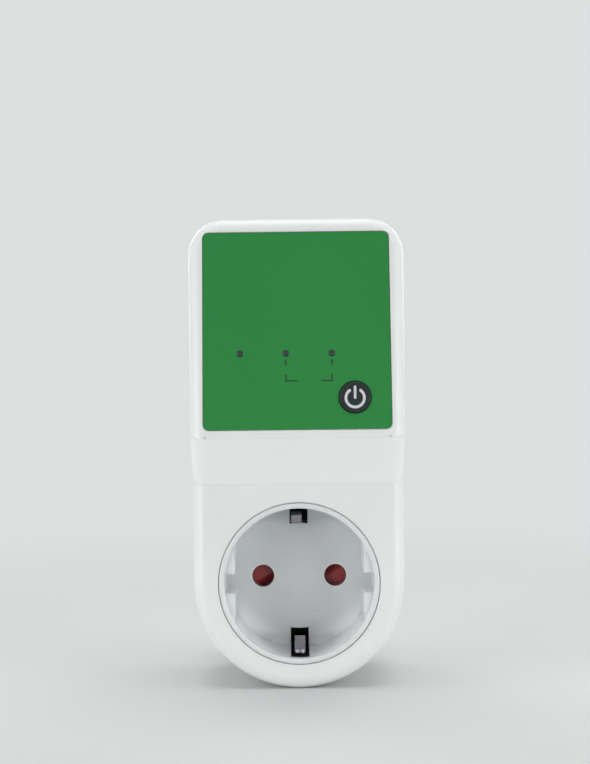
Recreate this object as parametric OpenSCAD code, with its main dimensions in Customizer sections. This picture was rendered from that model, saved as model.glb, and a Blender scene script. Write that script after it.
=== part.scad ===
// Plug-in voltage protection relay: a housing that plugs into a wall socket with its rear plug body
// and offers an earthed socket, three indicators and a power button on its front.
// Drawn as seen from the front: x to the right, y up, z towards the viewer, from the plug's face.
// Each sub-part is then stood upright, so that the front faces -Y and the top +Z.

/* [Housing] */
// Width of the housing
body_w = 53.5; // [52.5:0.1:58]
// Height of the top end above the socket's axis
body_top = 91.6; // [91:0.1:98]
// Depth from the rear face to the socket deck
deck_depth = 38; // [37.5:0.1:42]
// Height of the control deck above the socket deck
deck_rise = 9; // [8.5:0.1:11]
// Height of the crease below the control deck, above the socket's axis
crease_y = 37.2; // [36.8:0.1:38]
// Radius of the two upper corners
corner_r = 9; // [7:0.1:11]
// Rounding along the front and rear edges
edge_r = 3; // [2.6:0.1:3.3]
// Wall of both covers
wall = 2.2; // [2:0.05:2.4]
// Depth of the back cover's rim
rim_depth = 12; // [10:0.1:14]

/* [Controls] */
// Width of the green overlay at its top
overlay_top_w = 46; // [44:0.1:46.4]
// Width of the green overlay at its foot
overlay_foot_w = 46.8; // [44:0.1:46.8]
// Height of the overlay
overlay_h = 48.9; // [46:0.1:49.5]
// Corner radius of the overlay
overlay_r = 1.5; // [0.8:0.1:3]
// Thickness of the overlay
overlay_t = 0.45; // [0.3:0.05:0.6]
// Distance from the crease to the overlay's foot
overlay_foot_gap = 2; // [1.4:0.1:2.4]
// Distance between two indicators
indicator_pitch = 11.35; // [10.5:0.05:11.8]
// Place of the middle indicator, to the right of the axis
indicator_x = -2.7; // [-3.2:0.1:-2.2]
// Height of the indicators above the crease
indicator_rise = 20.9; // [20:0.1:22]
// Radius of an indicator window
window_r = 0.8; // [0.6:0.05:1]
// Radius of the power button
button_r = 3.95; // [3.5:0.05:4.1]
// Place of the button, to the right of the axis
button_x = 14.3; // [13.6:0.1:14.6]
// Height of the button above the crease
button_rise = 9.9; // [9.6:0.1:10.6]
// Travel of the button
button_travel = 0.3; // [0.2:0.05:0.4]

/* [Socket] */
// Outer radius of the socket insert
insert_r = 20.4; // [20.2:0.05:20.8]
// Radius of the recess
recess_r = 19; // [18.8:0.05:19.2]
// Depth of the recess
recess_depth = 17.5; // [17.2:0.1:18]
// Thickness of the recess floor
floor_t = 2.5; // [2:0.1:3]
// Distance between the two side rails
rail_gap = 32.8; // [32.4:0.1:33.2]
// Height of the side rails
rail_h = 19; // [17:0.1:20]
// Height of the notch in each rail
notch_h = 5; // [4.8:0.1:5.6]
// Distance between the pin axes, of socket and plug
pin_pitch = 19; // [18.8:0.1:19.2]
// Radius of the pin holes
pin_hole_r = 2.7; // [2.6:0.05:2.8]
// Width of the earth slots
earth_slot_w = 4.6; // [4.2:0.1:5]
// Width of the earth clips
earth_clip_w = 2.7; // [2.4:0.1:3.2]
// Distance from the axis to an earth clip's contact point
earth_reach = 14.65; // [14.3:0.05:15]

/* [Plug] */
// Radius of the plug body
plug_r = 18.5; // [18.3:0.05:18.6]
// Length of the plug body
plug_len = 17.5; // [17:0.1:18]
// Distance between the flats on the plug body's sides
plug_flats = 32.2; // [32:0.1:32.4]
// Width of the guide rib on each flat
plug_rib_w = 4.4; // [4.2:0.1:4.6]
// Radius of the plug pins
pin_r = 2.4; // [2.3:0.02:2.42]
// Free length of the plug pins
pin_len = 19; // [18.5:0.1:19.5]

/* [Relay] */
// Width of the relay
relay_w = 27; // [26:0.1:27.5]
// Length of the relay
relay_len = 32; // [31.5:0.1:32.5]
// Height of the relay
relay_h = 20; // [19.6:0.1:21]
// Gap between the core's head and the armature at rest
pole_gap = 0.8; // [0.75:0.05:0.9]

/* [Hidden] */
$fn = 72;
cut = 1; // overrun of every cut
root = 0.6; // depth by which a boss stands in its wall
rest_gap = 0.05; // gap between pieces that lie on each other
side_gap = 0.15; // gap round a piece in its opening

// Levels in front of the plug's face
back_z = plug_len;
inner_back_z = back_z + wall;
split_z = back_z + rim_depth;
deck_z = back_z + deck_depth;
top_z = deck_z + deck_rise;
inner_deck_z = deck_z - wall;
inner_top_z = top_z - wall;

// Housing
half_w = body_w / 2;
slope_share = 4 / 3; // height that the sloped band takes, as a share of the deck's rise
slope_foot_y = crease_y - slope_share * deck_rise;
slope_angle = atan2(1, slope_share);
mitre_share = tan(slope_angle / 2); // lean of the planes where the band meets the decks
mitre_base = 36; // from the socket deck back to the foot of those planes
mitre_over = 3; // from the control deck forwards to their top
lap_depth = 2.4; // depth of the tongue that joins the covers
lap_t = wall / 2;
latch_y = 16.4; // height of the side latches
latch_len = 7.9; // height of a latch window
latch_nose_len = 4.3; // height of the nose in the window
latch_nose_d = 2.4; // depth of the nose
latch_offset = 3.4; // distance from the parting line to the nose
latch_arm_t = 1.1;

// Screws that hold the two covers together
case_screw_r = 1.45;
case_screw_len = 15;
case_head_r = 2.8;
case_head_h = 1.6;
case_boss_r = 3.3;
case_boss_inset = 7.6; // from the housing's side to a screw
case_boss_top_inset = 8.2; // from the top end to the upper screws
case_boss_low_y = 27.5; // from the socket's axis to the lower screws
case_boss_x = half_w - case_boss_inset;
case_boss_ys = [case_boss_low_y, body_top - case_boss_top_inset];
pillar_h = 3.4; // height of the back cover's screw pillars
pillar_top_z = inner_back_z + pillar_h;
gusset_t = 1.2;

// Overlay and its pocket
pocket_gap = 0.12;
overlay_sink = 0.15; // how far the overlay lies below the deck
pocket_depth = overlay_t + rest_gap + overlay_sink;
overlay_foot_y = crease_y + overlay_foot_gap;
overlay_back_z = top_z - pocket_depth + rest_gap;
overlay_front_z = overlay_back_z + overlay_t;

// Control board, screwed to posts of the front cover
board_gap = 8.5; // from the deck's inner face to the board
board_t = 1.6;
board_side_gap = 1.75; // from the side wall to the board
board_foot_drop = 3.3; // from the crease to the board's foot
board_top_gap = 1.9; // from the top wall to the board
board_foot_y = crease_y - board_foot_drop;
board_top_y = body_top - wall - board_top_gap;
board_front_z = inner_top_z - board_gap;
board_back_z = board_front_z - board_t;
board_half_w = half_w - wall - board_side_gap;
post_r = 2.3;
post_inset = 2.3; // from the board's side to a lower post
post_rise = 3.2; // from the crease to the lower posts
upper_post_x = 12;
post_top_inset = 7.1; // from the top end to the upper posts
lower_post_x = board_half_w - post_inset;
lower_post_y = crease_y + post_rise;
upper_post_y = body_top - post_top_inset;
board_screw_r = 1;
board_screw_len = 7;
board_head_r = 2;
board_head_h = 1.3;

// Indicators
indicator_y = crease_y + indicator_rise;
indicator_shares = [-1, 0, 1];
led_w = 2.8;
led_h = 1.6;
led_t = 0.7;
led_lens_r = 0.65;
led_lens_h = 0.45;
pipe_r = 1.5;
pipe_sleeve_t = 0.9;
pipe_sleeve_len = 4.5;
pipe_led_gap = 0.15;
led_top_z = board_front_z + led_t + led_lens_h;

// Power button and the switch behind it
button_y = crease_y + button_rise;
button_proud = 0.4;
button_dish_r = 14; // radius of the shallow dish in the button's face
button_dish_depth = 0.12;
button_edge_r = 0.4;
button_flange_t = 0.9;
button_flange_over = 0.95; // how far the flange stands out from the cap
button_stem_r = 2;
button_sleeve_t = 0.7;
button_sleeve_len = 2.8;
switch_w = 6;
switch_body_h = 3.5;
switch_h = 5;
plunger_r = 1.7;
plunger_depth = 1.5; // how deep the plunger sits in its body
plunger_gap = 0.1;
plunger_tip_z = board_front_z + switch_h;
button_flange_z = inner_top_z - side_gap;

// Socket insert
rim_proud = 0.3;
rim_round = 0.5;
mouth_chamfer = 0.35;
rail_drop = 1; // from the rim to the rails' front faces
rim_z = deck_z + rim_proud;
floor_z = rim_z - recess_depth;
floor_back_z = floor_z - floor_t;
flange_over = 1.5; // how far the flange stands out behind the deck
flange_t = 1.5;
flange_front_z = inner_deck_z - rest_gap;
slot_low_r = 13.9; // inner end of the earth slots
slot_depth = 0.9; // depth of the earth slots in the recess's wall
slot_high_r = recess_r + slot_depth;
slot_front_gap = 2.5; // from the rim to the front end of the earth slots
ear_reach = 25; // from the axis to the insert's screws
ear_angle = 45;
ear_r = 3.1;
ear_t = 2.4;
ear_drop = 14; // from the deck to the ears' rear faces
ear_back_z = deck_z - ear_drop;
ear_post_r = 2.5;
insert_screw_r = 1.1;
insert_screw_len = 8;
insert_head_r = 2.1;
insert_head_h = 1.5;
entry_chamfer = 0.3; // chamfer round the pin holes

// Shutter behind the recess floor
shutter_gap = 0.15;
shutter_t = 2.2;
spring_room = 1.5; // space for the return spring behind the shutter
shutter_r = 13.2;
shutter_hub_r = 5;
shutter_boss_r = 3;
post_gap = 0.08; // running gap of the shutter on its post
shutter_post_r = 1.9;
lobe_half_angle = 18;
shutter_turn = 38;
ramp_line_angle = 28;
ramp_angle = 22;
ramp_offset = 0.6;
ramp_half_len = 3.6;
stop_angle = 2.6; // width of a stop rib
stop_clear_angle = 1.2;
stop_low_r = 10.6;
shutter_front_z = floor_back_z - shutter_gap;
shutter_back_z = shutter_front_z - shutter_t;
carrier_front_z = shutter_back_z - spring_room;
spring_wire_r = 0.18;
spring_turns = 2;
spring_pitch = 0.45;
spring_gap = 0.45; // from the boss to the middle of the spring's wire
spring_r = shutter_boss_r + spring_gap;
spring_leg = 4.2;

// Contact carrier, its contacts and the two earth straps
carrier_t = 1.5;
carrier_gap = 0.15;
ledge_w = 1;
carrier_back_z = carrier_front_z - carrier_t;
skirt_over = 1.4; // how far the insert's skirt reaches past the carrier's plate
skirt_back_z = carrier_back_z - skirt_over;
chamber_wall = 1.35;
chamber_len = 9;
chamber_back_z = carrier_back_z - chamber_len;
carrier_post_reach = 16.1;
carrier_post_angle = 144;
carrier_post_r = 2;
carrier_screw_r = 0.85;
carrier_screw_len = 4.5;
carrier_head_r = 1.7;
carrier_head_h = 1.1;
contact_t = 0.7;
contact_gap = 0.05; // between a pin and its sleeve
contact_bore_r = pin_r + contact_gap;
contact_r = contact_bore_r + contact_t;
contact_slit = 0.8;
contact_flange_over = 1.3;
contact_flange_t = 0.8;
contact_tab_w = 4;
contact_tab_reach = 8.4; // from the contact's axis to the end of its tab
contact_flange_z = chamber_back_z - rest_gap;
strap_t = 0.8;
strap_w = 4.2;
strap_front_z = carrier_back_z - rest_gap;
upper_clip_offset = 0.6; // sideways set of the upper clip in its slot
clip_foot_y = 17.7; // from the axis to the clips where they leave the floor
clip_tip_y = 18.1; // from the axis to the clips' tips
clip_tip_drop = 2.9; // from the rim to the clips' tips
clip_tip_r = 1.1; // rounding of the clips' tips
clip_bow_drop = 9.6; // from the rim to the clips' contact points
plug_strap_w = 5;
plug_strap_z = inner_back_z + side_gap; // rear face of the plug's earth strap
rivet_r = 1.4;
rivet_head_r = 2.3;
rivet_head_h = 0.8;
spacer_r = 3.2;

// Plug body
plug_wall = 4.3; // from the plug body's outside to its hollow
plug_floor_t = 4;
plug_face_r = 1;
groove_w = 6.4;
groove_r = 15.9; // from the axis to the earth grooves' floors
earth_slot_clear = 0.3;
flat_h = 12.4; // half height of the flats
pin_root_r = 2.6;
pin_collar_r = 3.4;
pin_collar_t = 1.4;
pin_tail_r = 1.9;
pin_tail_len = 7;
pin_tip_r = 1.6;
clamp_t = 2.6;
clamp_half_w = 12.6;
clamp_half_h = 4.8;
clamp_screw_r = 1.3;
clamp_screw_len = 6.4;
clamp_head_r = 2.6;
clamp_head_h = 1.8;
clamp_post_r = 3;
clamp_back_z = plug_floor_t + pin_collar_t + rest_gap;
clamp_front_z = clamp_back_z + clamp_t;
bridge_w = 4;
bridge_gap = 0.3; // from the clamp to the bridge
bridge_z = clamp_front_z + bridge_gap;
bridge_drop = 5.7; // from the pin's axis to the long leg of the bridge

// Leads inside the housing, each with the points it passes in x, y and z
lead_r = 1.4;
thin_lead_r = 0.9;
line_in_route = [
    [9.5, 0, 13], [9.5, 1.5, 15], [8.6, 6, 17.5], [6.6, 10, 21.2], [4.4, 15, 23.7],
    [2, 22, 26.2], [0, 30, 30.7], [-2, 42, 39.7], [-2, 44.5, 46.2], [-2, 44.5, 52]
];
line_out_route = [
    [5.5, 44.5, 52], [5.5, 44.5, 46.2], [8, 41, 37.7], [12.5, 31, 29.7], [16, 21, 25.2],
    [17.4, 12, 23.7], [17.4, 4, 23.3], [16.6, -2, 22.5], [14.4, -6.9, 21.4], [12, -6.9, 21.4]
];
neutral_route = [
    [-9.5, 0, 13], [-9.5, 1.5, 15], [-8.8, 6, 17.5], [-8, 10, 21.2], [-7, 15, 23.7],
    [-6.6, 22, 26.2], [-7, 30, 32.7], [-5, 38, 43.2], [-5, 39.5, 48.2], [-5, 39.5, 52]
];
tail_end_z = plug_floor_t + pin_collar_t + pin_tail_len;

// Relay, drawn from the board's rear face with its height away from the board
relay_x = -8;
relay_boss_gap = 1.1; // from the upper screw bosses to the relay
relay_y = case_boss_ys[1] - case_boss_r - relay_boss_gap - relay_len / 2;
relay_wall = 1;
relay_base_t = 1.6;
relay_foot_gap = 0.2;
yoke_t = 1.2;
yoke_w = 15;
spring_leaf_t = 0.3;
yoke_leg_y = relay_wall + spring_leaf_t + 2 * rest_gap - relay_len / 2;
button_contact_r = 1.6;
contact_inset = 6; // from the relay's end to the contacts
contact_point_y = relay_len / 2 - contact_inset;
bobbin_yoke_gap = 0.2;
bobbin_contact_gap = 5.2;
bobbin_low_y = yoke_leg_y + yoke_t + bobbin_yoke_gap;
bobbin_half_w = (contact_point_y - button_contact_r - bobbin_contact_gap - bobbin_low_y) / 2;
bobbin_flange_t = 0.9;
bobbin_tube_t = 0.7;
coil_y = bobbin_low_y + bobbin_half_w;
core_r = 2.6;
core_head_r = 4.5;
core_head_t = 0.8;
winding_inset = 0.7; // from the bobbin's edge to the winding
winding_r = bobbin_half_w - winding_inset;
foot_top_h = relay_foot_gap + relay_base_t + rest_gap + yoke_t;
armature_t = 1.3;
armature_drop = 3.5; // from the relay's top to the armature's underside at rest
armature_h = relay_h - armature_drop;
head_top_h = armature_h - pole_gap;
bobbin_low_h = foot_top_h + rest_gap;
bobbin_high_h = head_top_h - core_head_t - rest_gap;
spring_leaf_w = 5;
yoke_gap = 0.3; // from the yoke's leg to the armature
yoke_top_h = armature_h - yoke_gap;
armature_w = 13;
armature_over = 2; // how far the armature reaches past the core's head
armature_end_y = coil_y + core_head_r + armature_over;
leaf_over = 1.9; // from the contacts to the leaf's end
contact_end_y = contact_point_y + leaf_over;
moving_contact_t = 1.2;
contact_opening = 1.45; // gap between the contacts at rest
fixed_contact_t = 1;
leaf_h = armature_h + armature_t + rest_gap;
fixed_top_h = leaf_h - moving_contact_t - contact_opening;
terminal_t = 0.8;
terminal_w = 4;
terminal_reach = 3.6; // from the contacts to the terminal
terminal_y = contact_point_y + terminal_reach;

// Other components on the board
varistor_r = 7.5;
varistor_t = 4.6;
varistor_x = 12.5;
varistor_rise = 12.7; // from the crease to the varistor's middle
varistor_y = crease_y + varistor_rise;
varistor_lift = 1.2;
leg_r = 0.4;
leg_pitch = 7.5;
film_w = 8.5;
film_len = 18;
film_h = 14.5;
film_x = 12.8;
film_rise = 31.7; // from the crease to the film capacitor's middle
film_y = crease_y + film_rise;
can_r = 5;
can_h = 16;
can_x = -12.5;
can_gap = 1; // from the relay to the can
can_y = relay_y - relay_len / 2 - can_gap - can_r;
can_bead_h = 3; // height of the rolled bead above the board
rectifier_w = 8;
rectifier_len = 6.4;
rectifier_h = 3.2;
rectifier_x = 0.6;
rectifier_rise = 0.3; // from the crease to the rectifier's middle
rectifier_y = crease_y + rectifier_rise;
chip_w = 8.7;
chip_len = 3.9;
chip_h = 1.5;
chip_x = -8;
chip_rise = 34; // from the crease to the chip's middle
chip_y = crease_y + chip_rise;
chip_leg_count = 7;
chip_leg_w = 0.4;
chip_leg_reach = 1.05;
chip_leg_t = 0.2;
resistor_r = 2.2;
resistor_len = 11;
resistor_x = 12;
resistor_rise = 0.6; // from the crease to the resistor's middle
resistor_y = crease_y + resistor_rise;
resistor_neck = 0.35; // depth of the resistor's waist
small_w = 2;
small_h = 1.2;
small_t = 0.6;
small_pitch = 3.2;
small_count = 5;
small_x = 4;
small_rise = 33; // from the crease to the lowest chip resistor
small_y = crease_y + small_rise;

// Frames and shapes used by several sub-parts

// Turns the front view upright
module upright() rotate([90, 0, 0]) children();

// Section in x and z, carried upwards from y0 to y1
module rise(y0, y1) translate([0, y1, 0]) rotate([90, 0, 0]) linear_extrude(y1 - y0) children();

// Section in y and z, carried to the right from x0 to x1
module across(x0, x1) translate([x0, 0, 0]) rotate([90, 0, 90]) linear_extrude(x1 - x0) children();

// Disc or rod along z
module rod(r, z0, z1) translate([0, 0, z0]) cylinder(r = r, h = z1 - z0);

// Round bar along z with a taper
module taper(r0, r1, z0, z1) translate([0, 0, z0]) cylinder(r1 = r0, r2 = r1, h = z1 - z0);

// Block between two corners
module span(low, high) translate(low) cube(high - low);

// Mirrored copies on both sides of the axis
module both_sides() {
    children();
    mirror([1, 0, 0]) children();
}

// What is left of a square corner outside its rounding
module corner_waste(r) difference() {
    square(r + cut);
    circle(r);
}

// Rectangle from the origin with its far corner rounded
module soft_square(w, h, r) difference() {
    square([w, h]);
    translate([w - r, h - r]) corner_waste(r);
}

// Rectangle about the y axis with its two upper corners rounded
module bar_section(half, h, r) difference() {
    translate([-half, 0]) square([2 * half, h]);
    for (side = [0, 1]) mirror([side, 0]) translate([half - r, h - r]) corner_waste(r);
}

// Rectangle about the origin with all corners rounded
module soft_plate(w, h, r) difference() {
    translate([-w / 2, -h / 2]) square([w, h]);
    for (side = [0, 1], end = [0, 1])
        mirror([side, 0]) mirror([0, end]) translate([w / 2 - r, h / 2 - r]) corner_waste(r);
}

// Outline of the housing, drawn in by inset
module outline(inset) {
    half = half_w - inset;
    c = corner_r - inset;
    top = body_top - inset;
    difference() {
        circle(half);
        translate([-half - cut, 0]) square([2 * (half + cut), half + cut]);
    }
    translate([-half, 0]) square([2 * half, top - c]);
    translate([0, top - c]) bar_section(half, c, c);
}

// Half-round lower end with a rounded front edge, from z0 to z1
module lower_end(inset, z0, z1)
    rotate([0, 0, 180]) rotate_extrude(angle = 180)
        translate([0, z0]) soft_square(half_w - inset, z1 - z0, edge_r - inset);

// Straight stretch of the housing
module trunk(inset, y0, y1, z0, z1)
    rise(y0, y1) translate([0, z0]) bar_section(half_w - inset, z1 - z0, edge_r - inset);

// Upper end with its two round corners
module upper_end(inset, z0, z1) {
    c = corner_r - inset;
    x = half_w - corner_r;
    y = body_top - corner_r;
    across(-x, x) translate([y, z0]) soft_square(c, z1 - z0, edge_r - inset);
    both_sides() translate([x, y, 0]) rotate_extrude(angle = 90)
        translate([0, z0]) soft_square(c, z1 - z0, edge_r - inset);
}

// Region between two mitred ends, each given by a point in y and z
module between(low, high) across(-body_w, body_w) {
    z0 = deck_z - mitre_base;
    z1 = top_z + mitre_over;
    polygon([
        [low.x + mitre_share * (low.y - z0), z0], [high.x + mitre_share * (high.y - z0), z0],
        [high.x + mitre_share * (high.y - z1), z1], [low.x + mitre_share * (low.y - z1), z1]
    ]);
}

// Sloped band between the two decks, with the rounding of its sides carried along it
module sloped_band(inset, z0) intersection() {
    translate([0, crease_y, top_z]) rotate([slope_angle, 0, 0]) translate([0, 0, -inset])
        rise(-body_top, body_top) translate([0, -body_top])
            bar_section(half_w - inset, body_top, edge_r - inset);
    between([slope_foot_y, deck_z], [crease_y, top_z]);
    span([-body_w, 0, z0], [body_w, body_top, top_z + cut]);
}

// Front part of the housing with both decks, from z0 forwards
module front_form(inset, z0) {
    lower_end(inset, z0, deck_z - inset);
    intersection() {
        trunk(inset, 0, body_top, z0, deck_z - inset);
        between([-body_top, deck_z], [slope_foot_y, deck_z]);
    }
    sloped_band(inset, z0);
    intersection() {
        trunk(inset, 0, body_top - corner_r, z0, top_z - inset);
        between([crease_y, top_z], [2 * body_top, top_z]);
    }
    upper_end(inset, z0, top_z - inset);
}

// Rear part of the housing up to z1, with its rear edge rounded
module rear_form(inset, z1) mirror([0, 0, 1]) {
    lower_end(inset, -z1, -back_z - inset);
    trunk(inset, 0, body_top - corner_r, -z1, -back_z - inset);
    upper_end(inset, -z1, -back_z - inset);
}

// Places of the four case screws
module at_case_screws()
    for (y = case_boss_ys, x = [-case_boss_x, case_boss_x]) translate([x, y, 0]) children();

// Places of the four board screws
module at_board_screws() both_sides() {
    translate([lower_post_x, lower_post_y, 0]) children();
    translate([upper_post_x, upper_post_y, 0]) children();
}

// Places of the two pins
module at_pins() for (side = [-1, 1]) translate([side * pin_pitch / 2, 0, 0]) children();

// Places of the insert's two screws, and of the carrier's two screws
module at_insert_screws() both_sides() rotate([0, 0, ear_angle]) translate([ear_reach, 0, 0]) children();
module at_carrier_screws() for (turn = [0, 180])
    rotate([0, 0, carrier_post_angle + turn]) translate([carrier_post_reach, 0, 0]) children();

// Screw that points along z with its head below z = 0
module pan_screw(r, length, head_r, head_h) difference() {
    union() {
        rod(r, 0, length - r);
        taper(r, r / 2, length - r, length);
        rotate([180, 0, 0]) rotate_extrude() soft_square(head_r, head_h, head_h / 2);
    }
    cross_recess(head_r, head_h, -head_h);
}

// Screw with a countersunk head whose face lies at z = 0
module sunk_screw(r, length, head_r, head_h) difference() {
    union() {
        taper(head_r, r, 0, head_h);
        rod(r, head_h, length - r);
        taper(r, r / 2, length - r, length);
    }
    cross_recess(head_r, head_h, 0);
}

// Cross-shaped driver recess that opens downwards at z0
module cross_recess(head_r, head_h, z0) {
    arm = head_r * 0.6;
    slot = head_r * 0.14;
    depth = head_h * 0.55;
    for (turn = [0, 90]) rotate([0, 0, turn]) span([-arm, -slot, z0 - cut], [arm, slot, z0 + depth]);
}

// Band of even thickness along a line of points, for formed sheet metal
function way(a, b) = (b - a) / norm(b - a);
function ways(p) = [for (i = [0:len(p) - 1]) let(
    back = i > 0 ? way(p[i - 1], p[i]) : way(p[i], p[i + 1]),
    ahead = i < len(p) - 1 ? way(p[i], p[i + 1]) : back
) [back, ahead]];
function side_step(w) = let(m = w[0] + w[1], n = [-m.y, m.x]) 2 * n / (m * m);
function band(p, t) = let(steps = [for (w = ways(p)) side_step(w) * t / 2]) concat(
    [for (i = [0:len(p) - 1]) p[i] + steps[i]],
    [for (i = [len(p) - 1:-1:0]) p[i] - steps[i]]
);

// Points on an arc in the plane
function arc(c, r, a0, a1, n) = [for (i = [0:n]) let(a = a0 + (a1 - a0) * i / n) c + r * [cos(a), sin(a)]];

// Smooth line through a list of points, with n steps between two of them
function bend(a, b, c, d, t) =
    (2 * b + (c - a) * t + (2 * a - 5 * b + 4 * c - d) * t * t + (3 * b - a - 3 * c + d) * t * t * t) / 2;
function smooth(p, n) = let(last = len(p) - 1) concat(
    [for (i = [0:last - 1], k = [0:n - 1]) bend(
        p[max(i - 1, 0)], p[i], p[i + 1], p[min(i + 2, last)], k / n
    )],
    [p[last]]
);

// Directions across a line, carried along it without twist
function unit(v) = v / norm(v);
function tangents(p) = [for (i = [0:len(p) - 1]) unit(p[min(i + 1, len(p) - 1)] - p[max(i - 1, 0)])];
function carry(t, n, i) = i == len(t) ? []
    : let(m = unit(n - (n * t[i]) * t[i])) concat([m], carry(t, m, i + 1));

// Round tube along a line of points, as one closed mesh
module tube(p, r, sides, start_side) {
    t = tangents(p);
    n = carry(t, start_side, 0);
    count = len(p);
    rings = [for (i = [0:count - 1], k = [0:sides - 1]) let(a = 360 * k / sides)
        p[i] + r * (cos(a) * n[i] + sin(a) * cross(t[i], n[i]))];
    skin = [for (i = [0:count - 2], k = [0:sides - 1]) let(
        a = i * sides + k,
        b = i * sides + (k + 1) % sides
    ) each [[a, a + sides, b + sides], [a, b + sides, b]]];
    start_cap = [for (k = [1:sides - 2]) [0, k, k + 1]];
    end = (count - 1) * sides;
    end_cap = [for (k = [1:sides - 2]) [end, end + k + 1, end + k]];
    polyhedron(points = rings, faces = concat(start_cap, skin, end_cap));
}

// Housing

// Outline of the overlay, drawn out by gap
function overlay_points(gap) = let(
    top = overlay_top_w / 2 + gap,
    foot = overlay_foot_w / 2 + gap,
    low = overlay_foot_y - gap,
    high = overlay_foot_y + overlay_h + gap,
    r = overlay_r + gap,
    steps = 8,
    right = concat(
        arc([foot - r, low + r], r, -90, 0, steps),
        arc([top - r, high - r], r, 0, 90, steps)
    )
) concat(right, [for (i = [len(right) - 1:-1:0]) [-right[i].x, right[i].y]]);

module at_indicators() for (share = indicator_shares)
    translate([indicator_x + share * indicator_pitch, indicator_y, 0]) children();
module at_button() translate([button_x, button_y, 0]) children();

module front_cover() color("white") upright() {
    difference() {
        union() {
            difference() {
                front_form(0, split_z);
                front_form(wall, split_z - cut);
                translate([0, 0, split_z - cut]) linear_extrude(lap_depth + side_gap + cut) outline(lap_t);
            }
            front_bosses();
        }
        front_cuts();
    }
}

// Boss of a case screw with the gusset that ties it to the side wall
module case_boss(y, z1) translate([case_boss_x, y, 0]) {
    reach = half_w - wall / 2 - case_boss_x;
    rod(case_boss_r, pillar_top_z + rest_gap, z1);
    span([0, -gusset_t / 2, split_z + lap_depth + 2 * side_gap], [reach, gusset_t / 2, z1]);
}

// Room in front of the sloped band, from a plane drawn in by inset
module above_slope(inset) translate([0, crease_y, top_z]) rotate([slope_angle, 0, 0])
    span([-body_w, -body_top, -inset], [body_w, body_top, body_top]);

// Bosses, posts and sleeves inside the front cover
module front_bosses() {
    sleeve_r = pipe_r + rest_gap + pipe_sleeve_t;
    guide_r = button_r + button_flange_over + side_gap + button_sleeve_t;
    both_sides() {
        case_boss(case_boss_ys[1], inner_top_z + root);
        case_boss(case_boss_ys[0], inner_deck_z + root);
        difference() {
            case_boss(case_boss_ys[0], top_z);
            above_slope(wall - root);
        }
    }
    at_board_screws() rod(post_r, board_front_z + rest_gap, inner_top_z + root);
    at_insert_screws() rod(ear_post_r, ear_back_z + ear_t + rest_gap, inner_deck_z + root);
    at_indicators() rod(sleeve_r, inner_top_z - pipe_sleeve_len, inner_top_z + root);
    at_button() rod(guide_r, inner_top_z - button_sleeve_len, inner_top_z + root);
}

// Pocket, openings and pilot holes of the front cover
module front_cuts() {
    guide_r = button_r + button_flange_over + side_gap;
    translate([0, 0, top_z - pocket_depth]) linear_extrude(pocket_depth + cut)
        polygon(overlay_points(pocket_gap));
    rod(insert_r + side_gap, inner_deck_z - cut, rim_z + cut);
    at_indicators() {
        rod(window_r + side_gap, inner_top_z - cut, top_z + cut);
        rod(pipe_r + rest_gap, inner_top_z - pipe_sleeve_len - cut, inner_top_z);
    }
    at_button() {
        rod(button_r + side_gap, inner_top_z - cut, top_z + cut);
        rod(guide_r, inner_top_z - button_sleeve_len - cut, inner_top_z);
    }
    at_case_screws() rod(case_screw_r + rest_gap, pillar_top_z - cut, back_z + case_screw_len + cut);
    at_board_screws()
        rod(board_screw_r + rest_gap, board_front_z - cut, board_back_z + board_screw_len + side_gap);
    at_insert_screws()
        rod(insert_screw_r + rest_gap, ear_back_z, ear_back_z + insert_screw_len + side_gap);
    both_sides() latch_window();
}

// Opening in the side wall for a latch nose
module latch_window() {
    z = split_z + latch_offset;
    span(
        [half_w - wall - cut, latch_y - latch_len / 2, z - side_gap],
        [half_w + cut, latch_y + latch_len / 2, z + latch_nose_d + side_gap]
    );
}

module back_cover() color("white") upright() {
    difference() {
        union() {
            difference() {
                rear_form(0, split_z);
                rear_form(wall, split_z + cut);
            }
            translate([0, 0, split_z - root]) linear_extrude(lap_depth + root) difference() {
                outline(lap_t + side_gap / 2);
                outline(wall);
            }
            at_case_screws() rod(case_boss_r, inner_back_z - root, pillar_top_z);
            both_sides() latch_arm();
            plug_body();
        }
        rod(plug_r - plug_wall, plug_floor_t, inner_back_z + cut);
        at_case_screws() {
            rod(case_screw_r + side_gap, back_z - cut, pillar_top_z + cut);
            taper(case_head_r + side_gap, case_screw_r + side_gap, back_z, back_z + case_head_h);
            rod(case_head_r + side_gap, back_z - cut, back_z);
        }
        for (turn = [0, 180]) rotate([0, 0, turn]) plug_earth_cuts();
        at_pins() rod(pin_root_r + rest_gap, -cut, plug_floor_t + cut);
        clamp_pilot();
    }
    difference() {
        rod(clamp_post_r, plug_floor_t - root, clamp_back_z - rest_gap);
        clamp_pilot();
    }
}

// Pilot hole of the clamp's screw
module clamp_pilot() rod(clamp_screw_r + rest_gap, clamp_front_z - clamp_screw_len - side_gap, clamp_back_z);

// Round plug body with flats and guide ribs on its sides
module plug_body() difference() {
    rotate([180, 0, 0]) translate([0, 0, -back_z - root])
        rotate_extrude() soft_square(plug_r, back_z + root, plug_face_r);
    both_sides() for (end = [0, 1]) mirror([0, end, 0])
        span([plug_flats / 2, plug_rib_w / 2, -cut], [plug_r + cut, flat_h, back_z]);
}

// Groove for one arm of the plug's earth contact, and its slot into the housing
module plug_earth_cuts() {
    slot_half = plug_strap_w / 2 + earth_slot_clear;
    span([-groove_w / 2, groove_r, -cut], [groove_w / 2, plug_r + cut, back_z]);
    span([-slot_half, groove_r, back_z - cut], [slot_half, groove_r + 3 * strap_t, inner_back_z + cut]);
    span(
        [-slot_half, groove_r - strap_t, inner_back_z - 2 * strap_t],
        [slot_half, groove_r + strap_t, inner_back_z + cut]
    );
}

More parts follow.
